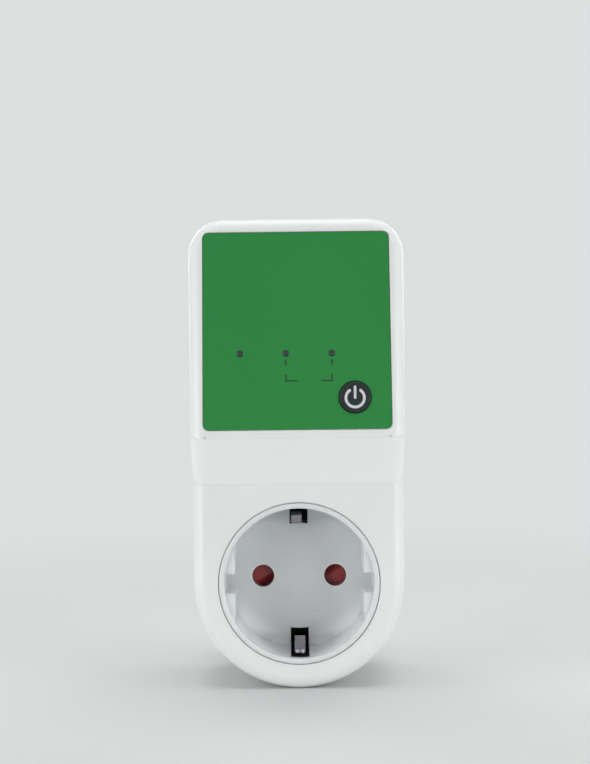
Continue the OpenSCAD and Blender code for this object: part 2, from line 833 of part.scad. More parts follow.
// Sprung arm with the nose that catches in the side window
module latch_arm() {
    z = split_z + latch_offset;
    x = half_w - wall - side_gap;
    low = latch_y - latch_nose_len / 2;
    high = latch_y + latch_nose_len / 2;
    span([x - latch_arm_t, low, split_z - root], [x, high, z + latch_nose_d + side_gap]);
    span([x - root, low, z], [half_w - side_gap, high, z + latch_nose_d]);
    span([x - latch_arm_t, low, split_z - latch_offset], [half_w - wall / 2, high, split_z]);
}

module case_screws() color("silver") upright() at_case_screws()
    translate([0, 0, back_z + rest_gap]) sunk_screw(case_screw_r, case_screw_len, case_head_r, case_head_h);

module control_overlay() color("seagreen") upright() difference() {
    translate([0, 0, overlay_back_z]) linear_extrude(overlay_t) polygon(overlay_points(0));
    at_indicators() rod(window_r + rest_gap, overlay_back_z - cut, overlay_front_z + cut);
    at_button() rod(button_r + side_gap, overlay_back_z - cut, overlay_front_z + cut);
}

// Clear pipe that carries the light of one indicator to its window
module light_pipe(share) color("dimgray") upright()
    translate([indicator_x + share * indicator_pitch, indicator_y, 0]) {
        rod(window_r, inner_top_z - root, overlay_front_z);
        rod(pipe_r, led_top_z + pipe_led_gap, inner_top_z - rest_gap);
    }

module power_button() color("darkslategray") upright() at_button() difference() {
    low = button_flange_z - button_flange_t;
    face = top_z + button_proud;
    union() {
        translate([0, 0, low]) rotate_extrude() soft_square(button_r, face - low, button_edge_r);
        rod(button_r + button_flange_over, low, button_flange_z);
        rod(button_stem_r, plunger_tip_z + plunger_gap, button_flange_z);
    }
    translate([0, 0, face - button_dish_depth + button_dish_r]) rotate([90, 0, 0]) sphere(button_dish_r);
}

// Socket

module socket_insert() color("whitesmoke") upright() {
    difference() {
        union() {
            translate([0, 0, skirt_back_z])
                rotate_extrude() soft_square(insert_r, rim_z - skirt_back_z, rim_round);
            rod(insert_r + flange_over, flange_front_z - flange_t, flange_front_z);
            insert_ears();
        }
        difference() {
            rod(recess_r, floor_z, rim_z + cut);
            rails();
        }
        taper(recess_r, recess_r + mouth_chamfer + cut, rim_z - mouth_chamfer, rim_z + cut);
        rod(recess_r - ledge_w, carrier_front_z - cut, floor_back_z);
        rod(recess_r, skirt_back_z - cut, carrier_front_z);
        at_pins() {
            rod(pin_hole_r, floor_back_z - cut, floor_z + cut);
            taper(pin_hole_r, pin_hole_r + entry_chamfer + cut, floor_z - entry_chamfer, floor_z + cut);
        }
        for (turn = [0, 180]) rotate([0, 0, turn]) span(
            [-earth_slot_w / 2, slot_low_r, skirt_back_z - cut],
            [earth_slot_w / 2, slot_high_r, rim_z - slot_front_gap]
        );
        at_insert_screws() rod(insert_screw_r + side_gap, ear_back_z - cut, ear_back_z + ear_t + cut);
    }
    rod(shutter_post_r, carrier_front_z + side_gap, floor_back_z + root);
    at_carrier_screws() difference() {
        rod(carrier_post_r, carrier_front_z + rest_gap, floor_back_z + root);
        rod(carrier_screw_r + rest_gap, carrier_back_z, carrier_back_z + carrier_screw_len + side_gap);
    }
    stop_ribs();
}

// Side rails that guide the plug, each with a notch for its rib
module rails() intersection() {
    rod(recess_r + cut, floor_z - cut, rim_z - rail_drop);
    both_sides() for (end = [0, 1]) mirror([0, end, 0])
        span([rail_gap / 2, notch_h / 2, floor_z - cut], [recess_r + cut, rail_h / 2, rim_z]);
}

// Ears with which the insert is screwed to the front cover
module insert_ears() both_sides() rotate([0, 0, ear_angle]) {
    span([insert_r - wall / 2, -ear_r, ear_back_z], [ear_reach, ear_r, ear_back_z + ear_t]);
    translate([ear_reach, 0, 0]) rod(ear_r, ear_back_z, ear_back_z + ear_t);
}

// Ribs that stop the shutter at both ends of its turn
module stop_ribs() {
    low = lobe_half_angle + stop_clear_angle;
    high = -shutter_turn - lobe_half_angle - stop_clear_angle - stop_angle;
    size = [shutter_r - stop_low_r, floor_back_z + root - shutter_back_z];
    for (turn = [0, 180], a = [low, high]) rotate([0, 0, turn + a])
        rotate_extrude(angle = stop_angle) translate([stop_low_r, shutter_back_z]) square(size);
}

module insert_screws() color("silver") upright() at_insert_screws() translate([0, 0, ear_back_z - rest_gap])
    pan_screw(insert_screw_r, insert_screw_len, insert_head_r, insert_head_h);

// Rotor with two lobes that cover the pin holes, each with a ramp for the pin
module shutter() color("firebrick") upright() difference() {
    union() {
        rod(shutter_hub_r, shutter_back_z, shutter_front_z);
        rod(shutter_boss_r, carrier_front_z + side_gap, shutter_front_z);
        for (turn = [0, 180]) rotate([0, 0, turn - lobe_half_angle])
            rotate_extrude(angle = 2 * lobe_half_angle) translate([shutter_hub_r - root, shutter_back_z])
                square([shutter_r - shutter_hub_r + root, shutter_t]);
    }
    rod(shutter_post_r + post_gap, carrier_front_z - cut, shutter_front_z + cut);
    for (turn = [0, 180]) rotate([0, 0, turn]) translate([-pin_pitch / 2, 0, shutter_front_z])
        rotate([0, 0, ramp_line_angle]) translate([0, -ramp_offset, 0]) rotate([ramp_angle, 0, 0])
            span([-ramp_half_len, -shutter_hub_r, 0], [ramp_half_len, 0, shutter_hub_r]);
}

// Torsion spring round the shutter's boss, with a leg at each end
module shutter_spring() color("lightsteelblue") upright() {
    steps = 20 * spring_turns;
    low = carrier_front_z + spring_wire_r + side_gap;
    coil = [for (i = [0:steps]) let(a = 360 * spring_turns * i / steps)
        [spring_r * cos(a), spring_r * sin(a), low + spring_pitch * spring_turns * i / steps]];
    first = coil[0] + [0, -spring_leg, 0];
    last = coil[steps] + [0, spring_leg, 0];
    tube(concat([first], coil, [last]), spring_wire_r, 6, [1, 0, 0]);
}

// Plate that keeps the shutter on its post, with a chamber for each contact
module contact_carrier() color("ivory") upright() difference() {
    union() {
        rod(recess_r - carrier_gap, carrier_back_z, carrier_front_z);
        at_pins() rod(contact_r + side_gap + chamber_wall, chamber_back_z, carrier_back_z + root);
    }
    at_pins() {
        rod(pin_hole_r + side_gap, carrier_back_z - cut, carrier_front_z + cut);
        rod(contact_r + side_gap, chamber_back_z - cut, carrier_back_z);
    }
    for (turn = [0, 180]) rotate([0, 0, turn]) span(
        [-earth_slot_w / 2, slot_low_r, carrier_back_z - cut],
        [earth_slot_w / 2, recess_r + cut, carrier_front_z + cut]
    );
    rod(rivet_head_r + side_gap, carrier_back_z - cut, carrier_back_z + rivet_head_h + side_gap);
    at_carrier_screws() rod(carrier_screw_r + side_gap, carrier_back_z - cut, carrier_front_z + cut);
}

module carrier_screws() color("silver") upright() at_carrier_screws()
    translate([0, 0, carrier_back_z - rest_gap])
        pan_screw(carrier_screw_r, carrier_screw_len, carrier_head_r, carrier_head_h);

// Split sleeve that grips a pin, with a flange and a tab at its rear
module socket_contact(side) color("goldenrod") upright() translate([side * pin_pitch / 2, 0]) difference() {
    low = contact_flange_z - contact_flange_t;
    high = carrier_back_z - side_gap;
    half = contact_tab_w / 2;
    union() {
        rod(contact_r, low, high);
        rod(contact_r + contact_flange_over, low, contact_flange_z);
        span([-half, -contact_tab_reach, low], [half, 0, contact_flange_z]);
    }
    rod(contact_bore_r, low - cut, high + cut);
    span([-contact_slit / 2, 0, contact_flange_z + cut], [contact_slit / 2, contact_r + cut, high + cut]);
    taper(contact_bore_r, contact_r, high - contact_t, high);
}

// Side view of one earth clip, in y and z, from its bend to its tip
function clip_line() = let(
    bow = rim_z - clip_bow_drop,
    reach = earth_reach + strap_t / 2,
    foot = clip_foot_y - strap_t / 2
) concat(
    [[foot, floor_z], [(foot + reach) / 2, (floor_z + bow) / 2]],
    arc([reach + strap_w, bow], strap_w, 205, 150, 6),
    [[clip_tip_y - strap_t / 2, rim_z - clip_tip_drop]]
);

// Strap across the carrier whose ends pass the recess floor and bow inwards
module earth_clips() color("lightslategray") upright() difference() {
    union() {
        bend_r = 2 * strap_t;
        foot = clip_foot_y - strap_t / 2;
        mid = strap_front_z - strap_t / 2;
        corner = arc([foot - bend_r, mid + bend_r], bend_r, -90, 0, 5);
        span(
            [-strap_w / 2, -foot + bend_r, strap_front_z - strap_t],
            [strap_w / 2, foot - bend_r, strap_front_z]
        );
        for (end = [0, 1]) mirror([0, end, 0]) {
            shift = end == 0 ? -upper_clip_offset : 0;
            across(shift - earth_clip_w / 2, shift + earth_clip_w / 2)
                polygon(band(concat([[foot - bend_r - strap_t, mid]], corner, clip_line()), strap_t));
        }
    }
    rod(rivet_r + rest_gap, strap_front_z - strap_t - cut, strap_front_z + cut);
    for (end = [0, 1], side = [0, 1]) mirror([0, end, 0]) {
        shift = end == 0 ? -upper_clip_offset : 0;
        translate([shift, 0, 0]) mirror([side, 0, 0]) clip_corner();
    }
}

// What is left of a clip's square tip outside its rounding
module clip_corner() rise(slot_low_r, slot_high_r)
    translate([earth_clip_w / 2 - clip_tip_r, rim_z - clip_tip_drop - clip_tip_r]) corner_waste(clip_tip_r);

// Plug

// Pin with a collar that the clamp traps, and a tail for the connection
module plug_pin(side) color("silver") upright() translate([side * pin_pitch / 2, 0, 0]) {
    translate([0, 0, root]) rotate([180, 0, 0])
        rotate_extrude() soft_square(pin_r, root + pin_len, pin_tip_r);
    rod(pin_root_r, 0, plug_floor_t + pin_collar_t);
    rod(pin_collar_r, plug_floor_t + rest_gap, plug_floor_t + pin_collar_t);
    rod(pin_tail_r, plug_floor_t + pin_collar_t, tail_end_z);
}

module pin_clamp() color("ivory") upright() difference() {
    translate([0, 0, clamp_back_z]) linear_extrude(clamp_t)
        soft_plate(2 * clamp_half_w, 2 * clamp_half_h, clamp_half_h / 2);
    at_pins() rod(pin_tail_r + side_gap, clamp_back_z - cut, clamp_front_z + cut);
    rod(clamp_screw_r + side_gap, clamp_back_z - cut, clamp_front_z + cut);
}

module pin_clamp_screw() color("silver") upright()
    translate([0, 0, clamp_front_z + rest_gap]) rotate([180, 0, 0])
        pan_screw(clamp_screw_r, clamp_screw_len, clamp_head_r, clamp_head_h);

// Strap inside the back cover whose ends lie in the grooves of the plug body
module plug_earth_contact() color("lightslategray") upright() difference() {
    bend_r = 1.5 * strap_t;
    arm = groove_r + side_gap + strap_t / 2;
    mid = plug_strap_z + strap_t / 2;
    half = plug_strap_w / 2;
    bow = arm + strap_t / 2;
    corner = arc([arm - bend_r, mid - bend_r], bend_r, 90, 0, 5);
    tip = [[arm, back_z - 2 * strap_t], [bow, back_z / 2], [arm, 2 * strap_t], [arm, strap_t]];
    union() {
        span([-half, bend_r - arm, plug_strap_z], [half, arm - bend_r, plug_strap_z + strap_t]);
        for (end = [0, 1]) mirror([0, end, 0]) across(-half, half)
            polygon(band(concat([[arm - bend_r - strap_t, mid]], corner, tip), strap_t));
    }
    rod(rivet_r + rest_gap, plug_strap_z - cut, plug_strap_z + strap_t + cut);
}

module earth_spacer() color("goldenrod") upright() difference() {
    rod(spacer_r, plug_strap_z + strap_t + rest_gap, strap_front_z - strap_t - rest_gap);
    rod(rivet_r + rest_gap, plug_strap_z, strap_front_z);
}

module earth_rivet() color("silver") upright() {
    rod(rivet_r, plug_strap_z - rest_gap - rivet_head_h, strap_front_z + rest_gap + rivet_head_h);
    rod(rivet_head_r, strap_front_z + rest_gap, strap_front_z + rest_gap + rivet_head_h);
    rod(rivet_head_r, plug_strap_z - rest_gap - rivet_head_h, plug_strap_z - rest_gap);
}

// Strip from the left pin to the tab of the left contact
module neutral_bridge() color("goldenrod") upright() translate([-pin_pitch / 2, 0, 0]) difference() {
    low = bridge_z + strap_t / 2;
    high = contact_flange_z - contact_flange_t - rest_gap - strap_t / 2;
    union() {
        rod(bridge_w / 2 + strap_t, bridge_z, bridge_z + strap_t);
        line = [[0, low], [-bridge_drop, low], [-bridge_drop, high], [-contact_tab_reach, high]];
        across(-bridge_w / 2, bridge_w / 2) polygon(band(line, strap_t));
    }
    rod(pin_tail_r + rest_gap, bridge_z - cut, bridge_z + strap_t + cut);
}

// Insulated leads
module lead(route, r) upright() tube(smooth(route, 3), r, 8, [1, 0, 0]);
module lead_line_in() color("saddlebrown") lead(line_in_route, lead_r);
module lead_line_out() color("sienna") lead(line_out_route, lead_r);
module lead_neutral() color("royalblue") lead(neutral_route, thin_lead_r);

// Electronics

module control_board() color("forestgreen") upright() difference() {
    notch = case_boss_r + 2 * side_gap;
    translate([0, (board_foot_y + board_top_y) / 2, board_back_z]) linear_extrude(board_t)
        soft_plate(2 * board_half_w, board_top_y - board_foot_y, board_t);
    both_sides() span(
        [case_boss_x - notch, case_boss_ys[1] - notch, board_back_z - cut],
        [half_w, body_top, board_front_z + cut]
    );
    at_board_screws() rod(board_screw_r + side_gap, board_back_z - cut, board_front_z + cut);
}

module board_screws() color("silver") upright() at_board_screws() translate([0, 0, board_back_z - rest_gap])
    pan_screw(board_screw_r, board_screw_len, board_head_r, board_head_h);

// Puts what is drawn with its height upwards on the board's rear face, or on its front face
module on_rear(x, y) translate([x, y, board_back_z - rest_gap]) mirror([0, 0, 1]) children();
module on_front(x, y) translate([x, y, board_front_z + rest_gap]) children();

module relay_base() color("dimgray") upright() on_rear(relay_x, relay_y) difference() {
    inner_w = relay_w - 2 * relay_wall - side_gap;
    inner_len = relay_len - 2 * relay_wall - side_gap;
    translate([0, 0, relay_foot_gap]) linear_extrude(relay_base_t)
        soft_plate(inner_w, inner_len, relay_wall);
    span(
        [-terminal_w / 2 - side_gap, terminal_y - terminal_t / 2 - side_gap, -cut],
        [terminal_w / 2 + side_gap, terminal_y + terminal_t / 2 + side_gap, relay_base_t + cut]
    );
}

module relay_case() color("midnightblue") upright() on_rear(relay_x, relay_y) difference() {
    linear_extrude(relay_h) soft_plate(relay_w, relay_len, relay_wall);
    translate([0, 0, -cut]) linear_extrude(relay_h - relay_wall + cut)
        soft_plate(relay_w - 2 * relay_wall, relay_len - 2 * relay_wall, relay_wall / 2);
}

module relay_bobbin() color("white") upright() on_rear(relay_x, relay_y + coil_y) difference() {
    union() {
        for (h = [bobbin_low_h, bobbin_high_h - bobbin_flange_t]) translate([0, 0, h])
            linear_extrude(bobbin_flange_t)
                soft_plate(2 * bobbin_half_w, 2 * bobbin_half_w, bobbin_half_w / 4);
        rod(core_r + rest_gap + bobbin_tube_t, bobbin_low_h, bobbin_high_h);
    }
    rod(core_r + rest_gap, bobbin_low_h - cut, bobbin_high_h + cut);
}

module relay_winding() color("peru") upright() on_rear(relay_x, relay_y + coil_y) difference() {
    low = bobbin_low_h + bobbin_flange_t + rest_gap;
    high = bobbin_high_h - bobbin_flange_t - rest_gap;
    rod(winding_r, low, high);
    rod(core_r + 2 * rest_gap + bobbin_tube_t, low - cut, high + cut);
}

module relay_core() color("gray") upright() on_rear(relay_x, relay_y + coil_y) {
    rod(core_r, foot_top_h + rest_gap, head_top_h);
    rod(core_head_r, head_top_h - core_head_t, head_top_h);
}

// Bent steel frame with its foot under the coil and its leg beside it
module relay_yoke() color("slategray") upright() on_rear(relay_x, relay_y) {
    span([-yoke_w / 2, yoke_leg_y, foot_top_h - yoke_t], [yoke_w / 2, coil_y + core_head_r, foot_top_h]);
    span([-yoke_w / 2, yoke_leg_y, foot_top_h - yoke_t], [yoke_w / 2, yoke_leg_y + yoke_t, yoke_top_h]);
}

module relay_armature() color("slategray") upright() on_rear(relay_x, relay_y) span(
    [-armature_w / 2, yoke_leg_y + yoke_t / 4, armature_h],
    [armature_w / 2, armature_end_y, armature_h + armature_t]
);

// Leaf on the armature with the moving contact at its end
module relay_contact_spring() color("goldenrod") upright() on_rear(relay_x, relay_y) {
    span([-spring_leaf_w / 2, coil_y, leaf_h], [spring_leaf_w / 2, contact_end_y, leaf_h + spring_leaf_t]);
    translate([0, contact_point_y, 0]) rod(button_contact_r, leaf_h - moving_contact_t, leaf_h);
}

// Leaf that runs from the yoke's back over the pivot and presses on the armature
module relay_return_spring() color("lightslategray") upright() on_rear(relay_x, relay_y)
    across(-spring_leaf_w, spring_leaf_w) polygon(band([
        [yoke_leg_y - rest_gap - spring_leaf_t / 2, relay_h / 3],
        [yoke_leg_y - rest_gap - spring_leaf_t / 2, leaf_h + spring_leaf_t / 2],
        [coil_y - core_head_r / 2, leaf_h + spring_leaf_t / 2]
    ], spring_leaf_t));

// Terminal from the board with the fixed contact on its bent end
module relay_fixed_contact() color("goldenrod") upright() on_rear(relay_x, relay_y) {
    plate_h = fixed_top_h - fixed_contact_t - terminal_t / 2;
    across(-terminal_w / 2, terminal_w / 2) polygon(band([
        [terminal_y, 0], [terminal_y, plate_h], [contact_point_y - button_contact_r, plate_h]
    ], terminal_t));
    translate([0, contact_point_y, 0]) rod(button_contact_r, plate_h, fixed_top_h);
}

module tact_switch_body() color("black") upright() on_front(button_x, button_y) difference() {
    linear_extrude(switch_body_h) soft_plate(switch_w, switch_w, leg_r);
    rod(plunger_r + side_gap / 2, switch_body_h - plunger_depth - 2 * button_travel, switch_body_h + cut);
}

module tact_switch_plunger() color("red") upright() at_button() {
    body_top_z = board_front_z + rest_gap + switch_body_h;
    rod(plunger_r, body_top_z - plunger_depth, plunger_tip_z);
}

// Surface-mounted lamp with a small round lens
module led(share) color("lightgreen") upright()
    on_front(indicator_x + share * indicator_pitch, indicator_y) {
        linear_extrude(led_t - rest_gap) soft_plate(led_w, led_h, led_h / 8);
        rod(led_lens_r, 0, led_t + led_lens_h - rest_gap);
    }

// Coated disc that stands on two legs
module varistor() color("cornflowerblue") upright() on_rear(varistor_x, varistor_y) {
    half = varistor_t / 2;
    soft = varistor_t / 4;
    translate([0, 0, varistor_lift + varistor_r]) rotate([0, 90, 0])
        for (side = [0, 1]) mirror([0, 0, side]) rotate_extrude() soft_square(varistor_r, half, soft);
    for (side = [-1, 1]) translate([0, side * leg_pitch / 2, 0])
        rod(leg_r, 0, varistor_lift + varistor_r / 2);
}

module film_capacitor() color("gold") upright() on_rear(film_x, film_y)
    linear_extrude(film_h) soft_plate(film_w, film_len, leg_r);

// Can with a rolled bead near its foot and a scored top
module smoothing_capacitor() color("darkslateblue") upright() on_rear(can_x, can_y) difference() {
    rotate_extrude() soft_square(can_r, can_h, leg_r);
    translate([0, 0, can_bead_h]) rotate_extrude() translate([can_r, 0]) circle(leg_r);
    for (turn = [0, 90]) rotate([0, 0, turn])
        span([-can_r / 2, -leg_r / 2, can_h - leg_r / 2], [can_r / 2, leg_r / 2, can_h + cut]);
}

module bridge_rectifier() color("black") upright() on_rear(rectifier_x, rectifier_y)
    linear_extrude(rectifier_h) soft_plate(rectifier_w, rectifier_len, leg_r);

module microcontroller() color("black") upright() on_front(chip_x, chip_y) {
    pitch = chip_w / chip_leg_count;
    reach = chip_len / 2 + chip_leg_reach;
    translate([0, 0, chip_leg_t]) linear_extrude(chip_h - chip_leg_t)
        soft_plate(chip_w, chip_len, leg_r / 2);
    for (i = [0:chip_leg_count - 1]) translate([(i - (chip_leg_count - 1) / 2) * pitch, 0, 0])
        span([-chip_leg_w / 2, -reach, 0], [chip_leg_w / 2, reach, 2 * chip_leg_t]);
}

// Round resistor with a waist, lying along x on its two legs
module fusible_resistor() color("tan") upright() on_rear(resistor_x, resistor_y) {
    lift = resistor_r + side_gap;
    half = resistor_len / 2;
    end = 1.2 * resistor_r;
    translate([-half, 0, lift]) rotate([0, 90, 0]) {
        rod(resistor_r, 0, end);
        rod(resistor_r - resistor_neck, 0, resistor_len);
        rod(resistor_r, resistor_len - end, resistor_len);
        rod(leg_r, -3 * leg_r, resistor_len + 3 * leg_r);
    }
    for (side = [-1, 1]) translate([side * (half + 3 * leg_r), 0, 0]) rod(leg_r, 0, lift + leg_r / 2);
}

module chip_resistors() color("black") upright()
    for (i = [0:small_count - 1]) on_front(small_x, small_y + i * small_pitch)
        linear_extrude(small_t) soft_plate(small_w, small_h, small_h / 8);

front_cover();
back_cover();
case_screws();
control_overlay();
light_pipe(-1);  // light_pipe_left
light_pipe(0);  // light_pipe_centre
light_pipe(1);  // light_pipe_right
power_button();
socket_insert();
insert_screws();
shutter();
shutter_spring();
contact_carrier();
carrier_screws();
socket_contact(-1);  // socket_contact_left
socket_contact(1);  // socket_contact_right
earth_clips();
plug_pin(-1);  // plug_pin_left
plug_pin(1);  // plug_pin_right
pin_clamp();
pin_clamp_screw();
plug_earth_contact();
earth_spacer();
earth_rivet();
neutral_bridge();
lead_line_in();
lead_line_out();
lead_neutral();
control_board();
board_screws();
relay_base();
relay_bobbin();
relay_winding();
relay_core();
relay_yoke();
relay_armature();
relay_contact_spring();
relay_return_spring();
relay_fixed_contact();
relay_case();
tact_switch_body();
tact_switch_plunger();
led(-1);  // led_left
led(0);  // led_centre
led(1);  // led_right
varistor();
film_capacitor();
smoothing_capacitor();
bridge_rectifier();
microcontroller();
fusible_resistor();
chip_resistors();
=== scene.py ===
# %% [markdown]
# # A plug-in voltage protection relay
#
# The real object is a white box that plugs into a wall socket. Its front has a raised control
# deck with a green panel, three small indicator windows and a round power button, then a sloped
# band, and a lower deck with an earthed socket.
#
# The solids come from the CAD model as a fixed frame, so this lesson is about looks: a studio, a
# finish for each material, and the small pieces that a solid modeller would leave out, such as
# printed marks, coil turns and insulated leads.

import math

import bmesh
import bpy
from mathutils import Matrix, Vector


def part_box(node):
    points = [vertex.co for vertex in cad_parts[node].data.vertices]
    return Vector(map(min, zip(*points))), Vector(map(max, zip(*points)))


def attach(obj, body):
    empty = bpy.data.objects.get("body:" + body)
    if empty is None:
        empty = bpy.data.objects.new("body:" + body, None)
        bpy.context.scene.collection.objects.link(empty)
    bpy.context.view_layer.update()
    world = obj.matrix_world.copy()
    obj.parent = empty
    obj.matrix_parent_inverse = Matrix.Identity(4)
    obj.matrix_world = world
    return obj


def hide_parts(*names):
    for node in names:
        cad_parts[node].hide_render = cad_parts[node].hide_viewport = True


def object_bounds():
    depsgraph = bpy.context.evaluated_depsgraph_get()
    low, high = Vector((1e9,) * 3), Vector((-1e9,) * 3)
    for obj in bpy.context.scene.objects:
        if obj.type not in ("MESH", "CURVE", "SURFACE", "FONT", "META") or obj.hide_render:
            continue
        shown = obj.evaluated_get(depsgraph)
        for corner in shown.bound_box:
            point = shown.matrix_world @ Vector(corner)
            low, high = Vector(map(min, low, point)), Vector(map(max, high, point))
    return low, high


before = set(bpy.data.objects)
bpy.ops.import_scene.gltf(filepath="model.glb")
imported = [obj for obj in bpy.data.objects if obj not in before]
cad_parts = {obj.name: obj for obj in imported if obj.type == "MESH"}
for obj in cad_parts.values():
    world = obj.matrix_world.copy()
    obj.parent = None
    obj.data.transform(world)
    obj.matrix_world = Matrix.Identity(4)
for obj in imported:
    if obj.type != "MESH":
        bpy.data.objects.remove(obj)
CAD_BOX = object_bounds()
MM = 0.001
scene = bpy.context.scene
print("solids:", len(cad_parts))

# %% [markdown]
# ## Small helpers for every cell
#
# Colours are easiest to choose as numbers from 0 to 255, as on a paint chart. Blender's shaders
# add light in linear numbers, so each tone is converted once, here.

# %% Tones
def tone(red, green, blue):
    """A colour chart's numbers, as the linear colour that a shader takes."""
    linear = []
    for part in (red / 255, green / 255, blue / 255):
        linear.append(part / 12.92 if part <= 0.04045 else ((part + 0.055) / 1.055) ** 2.4)
    return (*linear, 1.0)


def shade(colour, amount):
    """The same colour, lighter where amount is above 1 and darker below."""
    return (*[min(part * amount, 1.0) for part in colour[:3]], 1.0)


print("white cover plastic:", [round(part, 3) for part in tone(228, 230, 229)])

# %% [markdown]
# ## Arithmetic on shader sockets
#
# A finish is a tree of nodes. Writing `grain * 0.5 + 0.2` is shorter and clearer than placing two
# Math nodes by hand, so one small class wraps a socket and turns each operator into its node.
# Colours don't pass through Math nodes, which would make them grey: they are mixed.

# %% A socket with operators
class Wire:
    """One output socket of a shader tree."""

    def __init__(self, tree, node, socket):
        self.tree, self.node, self.socket = tree, node, socket

    def out(self, name):
        """Another output of the same node."""
        return Wire(self.tree, self.node, self.node.outputs[name])

    def math(self, operation, *values):
        return self.tree.node("ShaderNodeMath", {"operation": operation}, dict(enumerate(values)))

    def __add__(self, other):
        return self.math("ADD", self, other)

    def __radd__(self, other):
        return self.math("ADD", other, self)

    def __sub__(self, other):
        return self.math("SUBTRACT", self, other)

    def __rsub__(self, other):
        return self.math("SUBTRACT", other, self)

    def __mul__(self, other):
        return self.math("MULTIPLY", self, other)

    def __rmul__(self, other):
        return self.math("MULTIPLY", other, self)

    def __pow__(self, other):
        return self.math("POWER", self, other)

    def __abs__(self):
        return self.math("ABSOLUTE", self)

    def __neg__(self):
        return self.math("MULTIPLY", self, -1.0)

    def least(self, other):
        return self.math("MINIMUM", self, other)

    def most(self, other):
        return self.math("MAXIMUM", self, other)

    def above(self, edge, soft):
        """0 below the edge and 1 above it, with a soft step."""
        return self.tree.node(
            "ShaderNodeMapRange",
            {"interpolation_type": "SMOOTHSTEP"},
            {"Value": self, "From Min": edge - soft / 2, "From Max": edge + soft / 2},
        )

    def below(self, edge, soft):
        """1 below the edge and 0 above it, with a soft step."""
        return 1.0 - self.above(edge, soft)


# %% [markdown]
# ## A finish
#
# The world and each material have a tree of nodes. One method makes any node: the settings come
# first, because some of them change which sockets exist, and then the values or links of the
# sockets. A finish is a material with its patterns and masks. They read Object coordinates, which
# are metres in the object's own frame, so a grain of a quarter of a millimetre is a noise of 4000
# to the metre.

# %% A tree built node by node
class ShaderTree:
    """The nodes of a world or a material, made by calls."""

    def __init__(self, owner):
        owner.use_nodes = True
        self.tree = owner.node_tree
        self.tree.nodes.clear()

    def node(self, kind, settings=None, sockets=None, output=0):
        """Any node, with its settings and then the values or links of its sockets."""
        made = self.tree.nodes.new(kind)
        for key, value in (settings or {}).items():
            setattr(made, key, value)
        for key, value in (sockets or {}).items():
            if isinstance(value, Wire):
                self.tree.links.new(value.socket, made.inputs[key])
            else:
                made.inputs[key].default_value = value
        return Wire(self, made, made.outputs[output] if len(made.outputs) else None)


# %% A material
class Finish(ShaderTree):
    """A material, and the patterns and masks that finishes are made of."""

    def __init__(self, name):
        self.material = bpy.data.materials.new(name)
        super().__init__(self.material)
        self.place = self.node("ShaderNodeTexCoord").out("Object")

    def axes(self):
        """The place on the piece, in metres along x, y and z."""
        split = self.node("ShaderNodeSeparateXYZ", None, {0: self.place})
        return split.out("X"), split.out("Y"), split.out("Z")

    def noise(self, size, detail=2.0, stretch=(1, 1, 1)):
        """Cloudy noise whose blots are about this size in metres, times the stretch."""
        scale = tuple(1 / (size * part) for part in stretch)
        spot = self.node("ShaderNodeMapping", None, {"Vector": self.place, "Scale": scale})
        return self.node("ShaderNodeTexNoise", None, {"Vector": spot, "Scale": 1.0, "Detail": detail})

    def mix(self, mask, low, high):
        """The low colour where the mask is 0, and the high colour where it is 1."""
        return self.node(
            "ShaderNodeMix", {"data_type": "RGBA"}, {0: mask, 6: low, 7: high}, output=2
        )

    def soft_edges(self, radius):
        """Normals that turn gently over every sharp edge."""
        return self.node("ShaderNodeBevel", {"samples": 6}, {"Radius": radius})

    def edge_wear_and_highlight(self, soft):
        """1 where the soft normal has turned away from the flat one: an edge, which finishes lighten as wear
        and as a painted highlight.
        """
        flat = self.node("ShaderNodeNewGeometry").out("Normal")
        same = self.node("ShaderNodeVectorMath", {"operation": "DOT_PRODUCT"}, {0: soft, 1: flat}, output=1)
        return (1.0 - same).above(0.12, 0.2)

    def relief(self, height, depth, under=None):
        """A height from 0 to 1 as a bump of this depth in metres."""
        sockets = {"Height": height, "Distance": depth, "Strength": 1.0}
        if under is not None:
            sockets["Normal"] = under
        return self.node("ShaderNodeBump", None, sockets)

    def skin(self, colour, roughness, normal=None, **constants):
        """The surface shader, from what varies and what is the same all over."""
        sockets = {"Base Color": colour, "Roughness": roughness}
        if normal is not None:
            sockets["Normal"] = normal
        for key, value in constants.items():
            sockets[key.replace("_", " ")] = value
        surface = self.node("ShaderNodeBsdfPrincipled", None, sockets)
        self.node("ShaderNodeOutputMaterial", None, {"Surface": surface})
        return self.material


print("shader helpers ready")

# %% [markdown]
# ## The camera
#
# The picture looks straight at the front from a little under half a metre, and the relay leans a
# hair to the left. The lens is worked out from two sizes that are known: the socket's rim and its
# floor lie at different depths, and their scales in the picture give the distance.

# %% Camera
CAMERA_PLACE = Vector((-0.000522, -0.4558, 0.05101))
CAMERA_LEAN = math.radians(0.66)

camera_data = bpy.data.cameras.new("camera")
camera_data.lens = 74.55
camera_data.sensor_width = 36.0
camera_data.sensor_fit = "AUTO"
camera_data.clip_start = 0.01
camera_data.clip_end = 20.0
camera = bpy.data.objects.new("camera", camera_data)
scene.collection.objects.link(camera)
right = Vector((math.cos(CAMERA_LEAN), 0, -math.sin(CAMERA_LEAN)))
up = Vector((math.sin(CAMERA_LEAN), 0, math.cos(CAMERA_LEAN)))
back = right.cross(up)
turn = Matrix((right, up, back)).transposed().to_4x4()
camera.matrix_world = Matrix.Translation(CAMERA_PLACE) @ turn
scene.camera = camera
scene.view_settings.view_transform = "Standard"
print("camera at", [round(part, 4) for part in camera.location])

